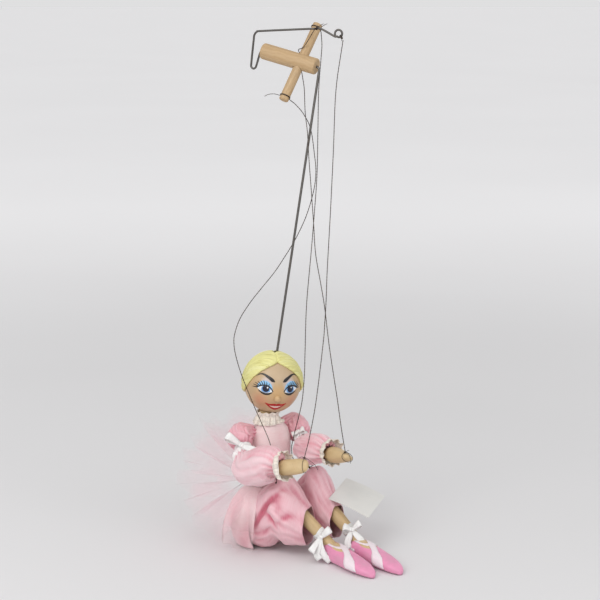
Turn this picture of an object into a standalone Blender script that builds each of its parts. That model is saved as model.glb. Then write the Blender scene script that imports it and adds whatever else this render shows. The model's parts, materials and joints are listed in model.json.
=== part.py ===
"""A ballerina marionette on a rod-and-string control, sitting on a flat surface.

Metres, +Z up. The origin is the middle of the seat, the flat underside of the trunk.
The figure faces -Y, and its left side is +X.
"""

import math

import bmesh
import bpy
from mathutils import Matrix, Vector

# Fits
FIT_GAP = 0.0003
CLOTH = 0.0008
CLOTH_GAP = 0.0005

# Control: rod, handle, cross bar and hand wire
ROD_DIAMETER = 0.0024
ROD_LENGTH = 0.3625
ROD_FOOT = Vector((-0.007, 0.0, 0.100))
ROD_LEAN_LEFT = math.radians(9.2)
ROD_LEAN_FORWARD = math.radians(2.1)
ROD_PIN_LENGTH = 0.010
ROD_PIN_STANDOFF = 0.0032
HANDLE_DIAMETER = 0.0155
HANDLE_LENGTH = 0.058
HANDLE_EDGE = 0.0013
HANDLE_TURN = math.radians(26.1)
HANDLE_PITCH = math.radians(13.9)
CONTROL_ROLL = math.radians(61.4)
CROSS_BAR_DIAMETER = 0.0092
CROSS_BAR_LENGTH = 0.082
CROSS_BAR_EDGE = 0.0008
CROSS_BAR_SETBACK = 0.017
BAR_KNOT_INSET = 0.0042
HAND_WIRE_DIAMETER = 0.0020
HAND_WIRE_PIN_LENGTH = 0.012
HAND_WIRE_TAIL = 0.0025
HAND_WIRE_DROP = 0.019
HAND_WIRE_CROOK = 0.0105
HAND_WIRE_RISE = 0.0155
HAND_WIRE_REACH = 0.0535
HAND_WIRE_TOP = 0.0355
EYE_RADIUS = 0.0034
EYE_REACH = 0.0724
EYE_PITCH = 0.0024

# Strings
STRING_DIAMETER = 0.0008
STRING_POINTS = 34
STRING_CLEAR = 0.0016
KNOT_THREAD = 0.0010
HAND_LOOP_SETBACK = 0.0035
KNEE_TIE_SPOKE = {"right": 7, "left": 4}

# Head
HEAD_RADIUS = 0.0270
HEAD_HALF_HEIGHT = 0.0285
HEAD_ON_ROD = 0.0598
HEAD_TURN = math.radians(-25.0)
NOSE_RADIUS = 0.0032
NOSE_DROP = 0.0098
HAIR_THICKNESS = 0.0018
HAIR_GAP = 0.0008
HAIRLINE = ((0, 35), (30, 57), (65, 80), (95, 104), (130, 116), (180, 118))

# Trunk
TORSO_SECTIONS = (
    (0.000, 0.0092, 0.0150, 0.0050),
    (0.003, 0.0100, 0.0160, 0.0050),
    (0.034, 0.0100, 0.0160, 0.0050),
    (0.048, 0.0155, 0.0150, 0.0035),
    (0.060, 0.0175, 0.0145, 0.0015),
    (0.085, 0.0195, 0.0155, 0.0000),
    (0.104, 0.0195, 0.0150, 0.0000),
    (0.114, 0.0170, 0.0130, 0.0000),
    (0.120, 0.0120, 0.0100, 0.0000),
    (0.122, 0.0085, 0.0078, 0.0000),
)
TORSO_SQUARENESS = 2.5
NECK_RADIUS = 0.0080
SHOULDER_HALF_WIDTH = 0.0333
SHOULDER_HEIGHT = 0.113
SHOULDER_SETBACK = 0.0035
SHOULDER_WIRE_DIAMETER = 0.0020
HIP_HALF_WIDTH = 0.0225
HIP_HEIGHT = 0.022
HIP_WIRE_DIAMETER = 0.0022
PIN_HEAD = 0.0008

# Arms
UPPER_ARM_LENGTH = 0.041
UPPER_ARM_RADIUS = 0.0047
SHOULDER_KNOB = 0.0058
FOREARM_LENGTH = 0.066
FOREARM_RADIUS = 0.0051
HAND_HALF_WIDTH = 0.0074
ELBOW_PIN_DIAMETER = 0.0016
ELBOW_TONGUE = 0.0038
UPPER_ARM_AIM = {"right": Vector((-0.20, -0.70, -0.69)), "left": Vector((-0.28, -0.87, -0.41))}
FOREARM_AIM = {"right": Vector((0.33, -0.91, 0.24)), "left": Vector((-0.03, -0.99, 0.11))}

# Legs
THIGH_LENGTH = 0.052
THIGH_RADIUS = 0.0068
HIP_KNOB = 0.0084
SHIN_LENGTH = 0.058
SHIN_RADIUS = 0.0062
ANKLE_RADIUS = 0.0050
KNEE_PIN_DIAMETER = 0.0020
KNEE_TONGUE = 0.0056
THIGH_AIM = {"right": Vector((0.34, -0.76, 0.56)), "left": Vector((0.16, -0.84, 0.52))}
SHIN_AIM = {"right": Vector((0.32, -0.70, -0.64)), "left": Vector((0.15, -0.78, -0.60))}
SHOE_LENGTH = 0.070
SHOE_HALF_WIDTH = 0.0105
SHOE_HEIGHT = 0.0175
SHOE_HEEL = 0.0095
SOLE_LIFT = 0.0002

# Clothes
BODICE_BOTTOM = 0.058
BODICE_TOP = 0.1165
BODICE_EASE = 0.0011
SKIRT_EASE = 0.0024
ARMHOLE_RADIUS = 0.0078
COLLAR_REACH = 0.0140
COLLAR_DROP = 0.0075
COLLAR_FLUTES = 11
PUFF_RADIUS = {"right": 0.0170, "left": 0.0140}
CUFF_REACH = 0.0062
CUFF_FLUTES = 8
BLOOMER_SPOKES = 22
TULLE_LENGTH = 0.074
TULLE_FLUTES = 8
TULLE_FLUTE_DEPTH = 0.0075
TULLE_UPPER_SPAN = (math.radians(48), math.radians(184))
TULLE_LOWER_SPAN = (math.radians(32), math.radians(160))
OVERSKIRT_START = math.radians(166)
OVERSKIRT_END = math.radians(216)
OVERSKIRT_FLARE = 0.028
OVERSKIRT_HEM = 0.006
RIBBON_WIDTH = 0.0060
RIBBON_THICKNESS = 0.0007
RIBBON_PLACE = {"right": 0.42, "left": 0.54}
TAG_SIZE = (0.052, 0.042)
TAG_THICKNESS = 0.0005

SIDES = {"right": -1, "left": 1}
UP = Vector((0, 0, 1))

# String routes between their knots, chosen by hand
NEAR_BAR_ROUTE = (
    (33, 0, 423), (40, -3, 414), (46, -6, 400), (49, -8, 376), (50, -9, 359), (48, -8, 341),
    (40, -7, 318), (30, -3, 296), (18, 0, 278), (8, 2, 265), (-5, 6, 250), (-16, 9, 237),
    (-25, 12, 223), (-31, 12, 210), (-33, 11, 201), (-34, 7, 190), (-34, -2, 173),
    (-31, -13, 151), (-26, -20, 132), (-20, -28, 109), (-18, -32, 88),
)
WIRE_ROUTE = (
    (45, 0, 437), (39, -10, 416),
    (31, -20, 399), (25, -30, 375), (19, -41, 348), (14, -51, 317), (10, -59, 291),
    (9, -68, 264), (8, -75, 243), (7, -85, 206), (11, -95, 160), (14, -101, 132),
)
FAR_BAR_ROUTE = (
    (65, 1, 478), (63, 0, 464), (58, -3, 436), (54, -7, 401), (49, -12, 358), (42, -17, 323),
    (36, -23, 289), (27, -31, 237), (20, -37, 195), (16, -39, 169), (11, -36, 143),
    (6, -31, 112), (5, -29, 97), (9, -30, 86),
)
EYE_ROUTE = (
    (53, -35, 438), (42, -45, 383), (31, -55, 334), (25, -60, 305), (18, -66, 274),
    (12, -72, 248), (8, -75, 228), (4, -78, 212), (-8, -86, 161), (-14, -88, 127),
)


def clear_scene():
    for old in list(bpy.data.objects):
        bpy.data.objects.remove(old, do_unlink=True)


clear_scene()
PARTS = bpy.data.collections.new("marionette")
CUTTERS = bpy.data.collections.new("cutters")
for each in (PARTS, CUTTERS):
    bpy.context.scene.collection.children.link(each)


# Materials
def material(name, colour, roughness, metallic=0.0):
    made = bpy.data.materials.new(name)
    made.use_nodes = True
    shader = made.node_tree.nodes["Principled BSDF"]
    shader.inputs["Base Color"].default_value = (*colour, 1.0)
    shader.inputs["Roughness"].default_value = roughness
    shader.inputs["Metallic"].default_value = metallic
    return made


BEECH = material("beech", (0.72, 0.55, 0.36), 0.55)
STEEL = material("steel", (0.16, 0.16, 0.15), 0.42, 0.9)
SKIN_WOOD = material("limb_wood", (0.56, 0.43, 0.24), 0.5)
FACE_PAINT = material("face_paint", (0.52, 0.38, 0.22), 0.45)
HAIR_PAINT = material("hair_paint", (0.82, 0.79, 0.38), 0.5)
SATIN = material("pink_satin", (0.80, 0.42, 0.47), 0.4)
PALE_NYLON = material("pale_nylon", (0.83, 0.62, 0.63), 0.6)
TULLE = material("tulle", (0.86, 0.68, 0.70), 0.8)
LACE = material("lace", (0.86, 0.80, 0.74), 0.8)
RIBBON = material("white_ribbon", (0.86, 0.87, 0.85), 0.4)
SHOE_PAINT = material("shoe_paint", (0.83, 0.38, 0.52), 0.4)
THREAD = material("thread", (0.10, 0.08, 0.07), 0.8)
CARD = material("card", (0.85, 0.85, 0.83), 0.7)


# Making and placing objects
def empty(name, matrix):
    made = bpy.data.objects.new(name, None)
    PARTS.objects.link(made)
    made.matrix_world = matrix
    return made


def add(name, data, finish, parent=None, matrix=None):
    """A part from a mesh or curve, in its parent's frame."""
    made = bpy.data.objects.new(name, data)
    PARTS.objects.link(made)
    data.materials.append(finish)
    if parent is not None:
        made.parent = parent
    made.matrix_local = matrix if matrix is not None else Matrix.Identity(4)
    return made


def frame(origin, z_axis, x_hint):
    """A frame at origin with +Z along z_axis and +X as near x_hint as that allows."""
    z = Vector(z_axis).normalized()
    y = z.cross(Vector(x_hint)).normalized()
    x = y.cross(z)
    turned = Matrix((x, y, z)).transposed().to_4x4()
    return Matrix.Translation(Vector(origin)) @ turned


def closed_mesh(name, rings):
    """A capped loft through rings that have the same number of points."""
    shape = bmesh.new()
    rows = [[shape.verts.new(p) for p in ring] for ring in rings]
    count = len(rows[0])
    for low, high in zip(rows, rows[1:]):
        for i in range(count):
            j = (i + 1) % count
            shape.faces.new((low[i], low[j], high[j], high[i]))
    shape.faces.new(rows[0])
    shape.faces.new(rows[-1])
    bmesh.ops.recalc_face_normals(shape, faces=shape.faces)
    return finished(name, shape)


def finished(name, shape):
    mesh = bpy.data.meshes.new(name)
    shape.to_mesh(mesh)
    shape.free()
    mesh.shade_smooth()
    mesh.set_sharp_from_angle(angle=math.radians(40))
    return mesh


def oval(half_x, half_y, z, count, power=2.0, centre=(0, 0)):
    """A ring of points on a superellipse at one height."""
    ring = []
    for i in range(count):
        angle = 2 * math.pi * i / count
        c, s = math.cos(angle), math.sin(angle)
        x = math.copysign(abs(c) ** (2 / power), c) * half_x
        y = math.copysign(abs(s) ** (2 / power), s) * half_y
        ring.append(Vector((centre[0] + x, centre[1] + y, z)))
    return ring


def turned(name, profile, finish, parent, matrix, steps=24):
    """A lathe shape about local Z from (radius, height) points that run down the outer side."""
    mesh = bpy.data.meshes.new(name)
    points = [(r, 0, z) for r, z in profile]
    edges = [(i, i + 1) for i in range(len(points) - 1)]
    if profile[0][0] > 0:
        edges.append((len(points) - 1, 0))
    mesh.from_pydata(points, edges, [])
    made = add(name, mesh, finish, parent, matrix)
    screw = made.modifiers.new("turn", "SCREW")
    screw.axis = "Z"
    screw.steps = steps
    screw.render_steps = steps
    screw.use_merge_vertices = True
    screw.merge_threshold = 0.00001
    screw.use_smooth_shade = True
    return made


def tube(name, points, diameter, finish, parent=None, sides=2):
    """A round wire or thread along points."""
    curve = bpy.data.curves.new(name, "CURVE")
    curve.dimensions = "3D"
    curve.bevel_depth = diameter / 2
    curve.bevel_resolution = sides
    curve.use_fill_caps = True
    line = curve.splines.new("POLY")
    line.points.add(len(points) - 1)
    for spot, point in zip(line.points, points):
        spot.co = (*point, 1.0)
    return add(name, curve, finish, parent)


def ring_of(name, radius, thickness, finish, parent, matrix, around=16, sides=6):
    bpy.ops.mesh.primitive_torus_add(
        major_radius=radius,
        minor_radius=thickness / 2,
        major_segments=around,
        minor_segments=sides,
    )
    made = bpy.context.object
    mesh = made.data
    bpy.data.objects.remove(made, do_unlink=True)
    mesh.name = name
    mesh.shade_smooth()
    return add(name, mesh, finish, parent, matrix)


def sheet(name, grid, finish, thickness=CLOTH, around=False, parent=None):
    """A cloth shell: an open surface through rows of points, thickened by Solidify."""
    shape = bmesh.new()
    rows = [[shape.verts.new(p) for p in row] for row in grid]
    count = len(rows[0])
    for low, high in zip(rows, rows[1:]):
        for i in range(count if around else count - 1):
            j = (i + 1) % count
            shape.faces.new((low[i], low[j], high[j], high[i]))
    made = add(name, finished(name, shape), finish, parent)
    shell = made.modifiers.new("cloth", "SOLIDIFY")
    shell.thickness = thickness
    shell.offset = 0.0
    return made


def cut_with(piece, cutter, operation="DIFFERENCE"):
    change = piece.modifiers.new(operation.lower(), "BOOLEAN")
    change.operation = operation
    change.object = cutter
    change.solver = "EXACT"


def cutter_from(mesh, matrix):
    made = bpy.data.objects.new("cutter_" + mesh.name, mesh)
    CUTTERS.objects.link(made)
    made.matrix_world = matrix
    made.hide_render = True
    made.display_type = "WIRE"
    return made


def round_cutter(radius, length, matrix, sides=20):
    """A cylinder along local Z, from its origin to length."""
    shape = bmesh.new()
    bmesh.ops.create_cone(
        shape,
        cap_ends=True,
        segments=sides,
        radius1=radius,
        radius2=radius,
        depth=length,
        matrix=Matrix.Translation((0, 0, length / 2)),
    )
    return cutter_from(finished("round", shape), matrix)


def box_cutter(low, high, matrix):
    shape = bmesh.new()
    size = Vector(high) - Vector(low)
    middle = (Vector(high) + Vector(low)) / 2
    bmesh.ops.create_cube(
        shape, size=1, matrix=Matrix.Translation(middle) @ Matrix.Diagonal((*size, 1))
    )
    return cutter_from(finished("box", shape), matrix)


def ball_cutter(radius, half_height, matrix):
    shape = bmesh.new()
    bmesh.ops.create_uvsphere(shape, u_segments=32, v_segments=16, radius=radius)
    bmesh.ops.scale(shape, vec=(1, 1, half_height / radius), verts=shape.verts)
    return cutter_from(finished("ball", shape), matrix)


def bore(piece, diameter, centre, direction, length):
    """A running hole for a wire of this diameter, centred on centre."""
    along = Vector(direction).normalized()
    start = Vector(centre) - along * length / 2
    hole = round_cutter(diameter / 2 + FIT_GAP, length, frame(start, along, side_of(along)), 12)
    cut_with(piece, hole)


def side_of(direction):
    return Vector((1, 0, 0)) if abs(direction.x) < 0.8 else Vector((0, 1, 0))


def headed_pin(name, diameter, grip, finish, centre, direction, parent=None):
    """A wire pin along direction with a peened head past each end of its grip."""
    half = grip / 2 + FIT_GAP
    r, wide = diameter / 2, diameter / 2 + 0.0007
    profile = [
        (0, half + PIN_HEAD), (wide, half + PIN_HEAD), (wide, half), (r, half),
        (r, -half), (wide, -half), (wide, -half - PIN_HEAD), (0, -half - PIN_HEAD),
    ]
    along = Vector(direction).normalized()
    place = frame(centre, along, side_of(along))
    if parent is not None:
        place = parent.matrix_world.inverted() @ place
    return turned(name, profile, finish, parent, place, 10)


def smooth_route(points, count):
    """Points evenly spaced by index on a Catmull-Rom curve through the route's own points."""
    route = [Vector(p) for p in points]
    route = [2 * route[0] - route[1], *route, 2 * route[-1] - route[-2]]
    spans = len(route) - 3
    out = []
    for i in range(count):
        place = spans * i / (count - 1)
        k = min(int(place), spans - 1)
        t = place - k
        a, b, c, d = route[k : k + 4]
        out.append(
            0.5 * (2 * b + (c - a) * t + (2 * a - 5 * b + 4 * c - d) * t**2
                   + (3 * b - a - 3 * c + d) * t**3)
        )
    return out


def rounded(points, radius, steps=4):
    """A polyline with its inner corners replaced by arcs, sampled on quadratic curves."""
    out = [Vector(points[0])]
    for before, corner, after in zip(points, points[1:], points[2:]):
        before, corner, after = Vector(before), Vector(corner), Vector(after)
        reach_in = min(radius, (corner - before).length * 0.49)
        reach_out = min(radius, (after - corner).length * 0.49)
        a = corner + (before - corner).normalized() * reach_in
        c = corner + (after - corner).normalized() * reach_out
        for i in range(steps + 1):
            t = i / steps
            out.append(a * (1 - t) ** 2 + corner * 2 * t * (1 - t) + c * t**2)
    out.append(Vector(points[-1]))
    return out


# Rod and control frames
ROD_AIM = Vector(
    (math.tan(ROD_LEAN_LEFT), -math.tan(ROD_LEAN_FORWARD), 1.0)
).normalized()
ROD_BEND = ROD_FOOT + ROD_AIM * ROD_LENGTH
HANDLE_AIM = Vector(
    (
        -math.sin(HANDLE_TURN) * math.cos(HANDLE_PITCH),
        math.cos(HANDLE_TURN) * math.cos(HANDLE_PITCH),
        math.sin(HANDLE_PITCH),
    )
)
LEVEL = HANDLE_AIM.cross(UP).normalized()
HANDLE_UP = LEVEL.cross(HANDLE_AIM)
BAR_AIM = LEVEL * math.cos(CONTROL_ROLL) + HANDLE_UP * math.sin(CONTROL_ROLL)
HANDLE_FRONT = ROD_BEND + HANDLE_AIM * ROD_PIN_STANDOFF
HANDLE_REAR = HANDLE_FRONT + HANDLE_AIM * HANDLE_LENGTH
BAR_CENTRE = HANDLE_FRONT + HANDLE_AIM * CROSS_BAR_SETBACK
HEAD_CENTRE = ROD_FOOT + ROD_AIM * HEAD_ON_ROD

control_axis = empty("control_axis", frame(HANDLE_FRONT, HANDLE_AIM, BAR_AIM))
hand_wire_axis = empty("hand_wire_axis", frame(HANDLE_REAR, -HANDLE_AIM, HANDLE_UP))
head_axis = empty(
    "head_axis",
    frame(HEAD_CENTRE, ROD_AIM, Vector((math.cos(HEAD_TURN), math.sin(HEAD_TURN), 0))),
)


def build_rod():
    pin_end = ROD_BEND + HANDLE_AIM * (ROD_PIN_STANDOFF + ROD_PIN_LENGTH)
    path = rounded([pin_end, ROD_BEND, ROD_FOOT], ROD_PIN_STANDOFF)
    tube("head_rod", path, ROD_DIAMETER, STEEL)


def build_control():
    radius, edge = HANDLE_DIAMETER / 2, HANDLE_EDGE
    front_bore = ROD_DIAMETER / 2 + FIT_GAP
    rear_bore = HAND_WIRE_DIAMETER / 2 + FIT_GAP
    front_depth = ROD_PIN_LENGTH + FIT_GAP
    rear_floor = HANDLE_LENGTH - HAND_WIRE_PIN_LENGTH - FIT_GAP
    profile = [
        (0, rear_floor), (rear_bore, rear_floor), (rear_bore, HANDLE_LENGTH),
        (radius - edge, HANDLE_LENGTH), (radius - edge * 0.3, HANDLE_LENGTH - edge * 0.3),
        (radius, HANDLE_LENGTH - edge), (radius, edge), (radius - edge * 0.3, edge * 0.3),
        (radius - edge, 0), (front_bore, 0), (front_bore, front_depth), (0, front_depth),
    ]
    handle = turned("handle", profile, BEECH, control_axis, None, 24)
    bore(handle, CROSS_BAR_DIAMETER, BAR_CENTRE, BAR_AIM, HANDLE_DIAMETER * 2)
    radius, edge, half = CROSS_BAR_DIAMETER / 2, CROSS_BAR_EDGE, CROSS_BAR_LENGTH / 2
    profile = [
        (0, half), (radius - edge, half), (radius, half - edge), (radius, edge - half),
        (radius - edge, -half), (0, -half),
    ]
    bar_place = control_axis.matrix_world.inverted() @ frame(BAR_CENTRE, BAR_AIM, HANDLE_AIM)
    turned("cross_bar", profile, BEECH, control_axis, bar_place, 20)
    for name, sign in (("near_bar_knot", -1), ("far_bar_knot", 1)):
        spot = BAR_CENTRE + BAR_AIM * sign * (half - BAR_KNOT_INSET)
        place = control_axis.matrix_world.inverted() @ frame(spot, BAR_AIM, HANDLE_AIM)
        ring_of(name, bar_knot_radius(), KNOT_THREAD, THREAD, control_axis, place)


def bar_knot_radius():
    return CROSS_BAR_DIAMETER / 2 + FIT_GAP + KNOT_THREAD / 2


def eye_centre():
    """The middle of the hand wire's eye, in the wire's frame: X up, Z forward."""
    return Vector((HAND_WIRE_TOP, 0, EYE_REACH))


def hand_wire_path():
    """The wire in its own frame: X up, Z forward along the handle, from the pin to the eye."""
    bend = HAND_WIRE_DIAMETER * 2
    corners = [
        (0, 0, HAND_WIRE_PIN_LENGTH),
        (0, 0, -HAND_WIRE_TAIL),
        (-HAND_WIRE_DROP, 0, -HAND_WIRE_TAIL - 0.0015),
        (-HAND_WIRE_DROP, 0, -HAND_WIRE_CROOK + 0.0015),
        (HAND_WIRE_RISE, 0, -HAND_WIRE_CROOK - HAND_WIRE_TAIL),
        (HAND_WIRE_TOP, 0, HAND_WIRE_REACH),
        (HAND_WIRE_TOP - EYE_RADIUS, EYE_PITCH / 2, EYE_REACH - EYE_RADIUS * 0.8),
    ]
    path = rounded(corners, bend)
    turns = 18
    path += [eye_point(i / turns)[0] for i in range(turns + 1)]
    return path


def eye_point(share):
    """A point this share of the way round the eye, and the way out from its middle."""
    angle = math.radians(-155 + 325 * share)
    out = Vector((math.cos(angle), 0, math.sin(angle)))
    return eye_centre() + out * EYE_RADIUS + Vector((0, EYE_PITCH * (0.5 - share), 0)), out


def eye_tie():
    """Where the right hand's string is tied, low on the front of the eye."""
    return eye_point(0.88)


def wire_tie_centre():
    """Where the left hand's string is tied on the wire's top run, in the wire's frame."""
    start = Vector((HAND_WIRE_RISE, 0, -HAND_WIRE_CROOK - HAND_WIRE_TAIL))
    end = Vector((HAND_WIRE_TOP, 0, HAND_WIRE_REACH))
    return start.lerp(end, 0.94), (end - start).normalized()


def build_hand_wire():
    tube("hand_wire", hand_wire_path(), HAND_WIRE_DIAMETER, STEEL, hand_wire_axis)
    loop = HAND_WIRE_DIAMETER / 2 + FIT_GAP + KNOT_THREAD / 2
    centre, along = wire_tie_centre()
    place = frame(centre, along, Vector((0, 1, 0)))
    ring_of("wire_knot", loop, KNOT_THREAD, THREAD, hand_wire_axis, place, 12)
    spot, out = eye_tie()
    place = frame(spot, out.cross(Vector((0, 1, 0))), Vector((0, 1, 0)))
    ring_of("eye_knot", loop + 0.0002, KNOT_THREAD, THREAD, hand_wire_axis, place, 12)


# Head
def hairline(degrees):
    """Polar angle of the hair's edge at this many degrees round from the face."""
    for (a, low), (b, high) in zip(HAIRLINE, HAIRLINE[1:]):
        if degrees <= b:
            return math.radians(low + (high - low) * (degrees - a) / (b - a))
    return math.radians(HAIRLINE[-1][1])


def head_point(polar, around, offset=0.0):
    """A point on the head, in its frame: around is 0 at the face, towards the left."""
    r, h = HEAD_RADIUS + offset, HEAD_HALF_HEIGHT + offset
    return Vector(
        (
            r * math.sin(polar) * math.sin(around),
            -r * math.sin(polar) * math.cos(around),
            h * math.cos(polar),
        )
    )


def build_head():
    hole = ROD_DIAMETER / 2 + FIT_GAP
    start = math.asin(hole / HEAD_RADIUS)
    profile = []
    for i in range(17):
        polar = start + (math.pi - 2 * start) * i / 16
        profile.append((HEAD_RADIUS * math.sin(polar), HEAD_HALF_HEIGHT * math.cos(polar)))
    turned("head_ball", profile, FACE_PAINT, head_axis, None, 26)

    nose_polar = math.acos(-NOSE_DROP / HEAD_HALF_HEIGHT)
    shape = bmesh.new()
    bmesh.ops.create_uvsphere(shape, u_segments=14, v_segments=8, radius=NOSE_RADIUS)
    place = Matrix.Translation(head_point(nose_polar, 0, NOSE_RADIUS * 0.35))
    nose = add("nose_bead", finished("nose_bead", shape), FACE_PAINT, head_axis, place)
    cut_with(
        nose,
        ball_cutter(HEAD_RADIUS + FIT_GAP, HEAD_HALF_HEIGHT + FIT_GAP, head_axis.matrix_world),
    )

    offset = HAIR_GAP + HAIR_THICKNESS / 2
    crown = math.asin((hole + HAIR_THICKNESS) / HEAD_RADIUS)
    grid = []
    for row in range(8):
        share = row / 7
        line = []
        for i in range(24):
            degrees = -180 + 15 * i
            polar = crown + (hairline(abs(degrees)) - crown) * share
            line.append(head_point(polar, math.radians(degrees), offset))
        grid.append(line)
    sheet("hair_cap", grid, HAIR_PAINT, HAIR_THICKNESS, True, head_axis)


# Trunk
def torso_section(z):
    """Half width, half depth and set-back of the trunk at a height."""
    for low, high in zip(TORSO_SECTIONS, TORSO_SECTIONS[1:]):
        if z <= high[0]:
            t = (z - low[0]) / (high[0] - low[0])
            return [a + (b - a) * t for a, b in zip(low[1:], high[1:])]
    return list(TORSO_SECTIONS[-1][1:])


def torso_ring(z, clear=0.0):
    wide, deep, back = torso_section(z)
    return oval(wide + clear, deep + clear, z, 24, TORSO_SQUARENESS, (0, back))


def build_trunk():
    rings = [torso_ring(section[0]) for section in TORSO_SECTIONS]
    torso = add("torso_block", closed_mesh("torso_block", rings), SKIN_WOOD)
    neck_length = HEAD_ON_ROD - 0.012
    cut_with(torso, round_cutter(NECK_RADIUS, neck_length, rod_frame(0.008), 24), "UNION")
    clear = FIT_GAP
    place = head_axis.matrix_world
    cut_with(torso, ball_cutter(HEAD_RADIUS + clear, HEAD_HALF_HEIGHT + clear, place))
    cut_with(
        torso,
        round_cutter(ROD_DIAMETER / 2 + FIT_GAP, HEAD_ON_ROD, rod_frame(-FIT_GAP), 12),
    )
    across = Vector((1, 0, 0))
    shoulders = (0, SHOULDER_SETBACK, SHOULDER_HEIGHT)
    bore(torso, SHOULDER_WIRE_DIAMETER, shoulders, across, 0.1)
    bore(torso, HIP_WIRE_DIAMETER, (0, 0, HIP_HEIGHT), across, 0.1)
    shoulder_grip = 2 * (SHOULDER_HALF_WIDTH + SHOULDER_KNOB)
    headed_pin(
        "shoulder_wire", SHOULDER_WIRE_DIAMETER, shoulder_grip, STEEL, shoulders, across
    )
    hip_grip = 2 * (HIP_HALF_WIDTH + HIP_KNOB)
    headed_pin("hip_wire", HIP_WIRE_DIAMETER, hip_grip, STEEL, (0, 0, HIP_HEIGHT), across)


def rod_frame(along):
    return frame(ROD_FOOT + ROD_AIM * along, ROD_AIM, Vector((1, 0, 0)))


# Limbs
def joints_of(side):
    """Joint points and hinge axes of one side's arm and leg."""
    sign = SIDES[side]
    shoulder = Vector((sign * SHOULDER_HALF_WIDTH, SHOULDER_SETBACK, SHOULDER_HEIGHT))
    upper, fore = UPPER_ARM_AIM[side].normalized(), FOREARM_AIM[side].normalized()
    elbow = shoulder + upper * UPPER_ARM_LENGTH
    hip = Vector((sign * HIP_HALF_WIDTH, 0, HIP_HEIGHT))
    thigh, shin = THIGH_AIM[side].normalized(), SHIN_AIM[side].normalized()
    knee = hip + thigh * THIGH_LENGTH
    return {
        "shoulder": shoulder,
        "elbow": elbow,
        "elbow_axis": upper.cross(fore).normalized(),
        "fingertip": elbow + fore * FOREARM_LENGTH,
        "hip": hip,
        "knee": knee,
        "knee_axis": shin.cross(thigh).normalized(),
        "ankle": knee + shin * SHIN_LENGTH,
    }


def limb(name, sections, finish, parent, count=10):
    rings = [oval(x, y, z, count) for z, x, y in sections]
    return add(name, closed_mesh(name, rings), finish, parent)


def knob(radius):
    """Sections of a rounded limb end about the local origin."""
    angles = (-80, -55, -28, 0, 25)
    return [
        (radius * math.sin(math.radians(a)), *[radius * math.cos(math.radians(a))] * 2)
        for a in angles
    ]


def fork_end(length, radius):
    """Sections of a limb's lower end, rounded about the joint at length."""
    return [
        (length - radius * 1.5, radius, radius),
        (length, radius, radius),
        (length + radius * 0.6, radius * 0.8, radius * 0.8),
        (length + radius * 0.92, radius * 0.4, radius * 0.4),
    ]


def tongue(thickness, radius, reach):
    """Sections of a flat tongue about the local origin that grows into a round limb."""
    flat = thickness / 2
    return [
        (-radius * 0.85, flat, radius * 0.4),
        (-radius * 0.5, flat, radius * 0.75),
        (0, flat, radius * 0.9),
        (reach * 0.55, flat, radius * 0.92),
        (reach, radius * 0.95, radius * 0.97),
    ]


def slot(piece, parent, thickness, length, depth):
    half = thickness / 2 + FIT_GAP
    wide = 0.02
    low, high = (-half, -wide, length - depth), (half, wide, length + wide)
    cut_with(piece, box_cutter(low, high, parent.matrix_world))


def build_arm(side):
    j = joints_of(side)
    upper_frame = frame(j["shoulder"], UPPER_ARM_AIM[side], j["elbow_axis"])
    fore_frame = frame(j["elbow"], FOREARM_AIM[side], j["elbow_axis"])
    shoulder = empty(side + "_shoulder", upper_frame)
    elbow = empty(side + "_elbow", fore_frame)

    r = UPPER_ARM_RADIUS
    sections = knob(SHOULDER_KNOB) + [(0.012, r, r)] + fork_end(UPPER_ARM_LENGTH, r + 0.0004)
    upper = limb(side + "_upper_arm", sections, SKIN_WOOD, shoulder)
    slot(upper, shoulder, ELBOW_TONGUE, UPPER_ARM_LENGTH, 0.0075)
    bore(upper, ELBOW_PIN_DIAMETER, j["elbow"], j["elbow_axis"], 0.03)
    bore(upper, SHOULDER_WIRE_DIAMETER, j["shoulder"], (1, 0, 0), 0.02)
    grip = 2 * (r + 0.0004)
    name = side + "_elbow_pin"
    headed_pin(name, ELBOW_PIN_DIAMETER, grip, STEEL, j["elbow"], j["elbow_axis"], shoulder)

    f, w, length = FOREARM_RADIUS, HAND_HALF_WIDTH, FOREARM_LENGTH
    hand = [
        (length - 0.028, w * 0.95, w * 0.95),
        (length - 0.019, w * 0.98, w),
        (length - 0.008, w * 0.62, w * 0.95),
        (length - 0.002, w * 0.36, w * 0.72),
        (length, w * 0.18, w * 0.40),
    ]
    if side == "left":
        hand = [(z, y, x) for z, x, y in hand]
    sections = tongue(ELBOW_TONGUE, f, 0.0100) + [(0.020, f, f), (0.0335, f, f)] + hand
    fore = limb(side + "_forearm", sections, SKIN_WOOD, elbow)
    bore(fore, ELBOW_PIN_DIAMETER, j["elbow"], j["elbow_axis"], 0.03)
    build_sleeve(side, shoulder, elbow)


def band(name, radius, width, thickness, finish, parent, height):
    """A flat ribbon wound round a limb, about local Z."""
    inner, outer = radius, radius + thickness
    low, high = height - width / 2, height + width / 2
    profile = [(inner, high), (outer, high), (outer, low), (inner, low)]
    return turned(name, profile, finish, parent, None, 20)


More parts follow.
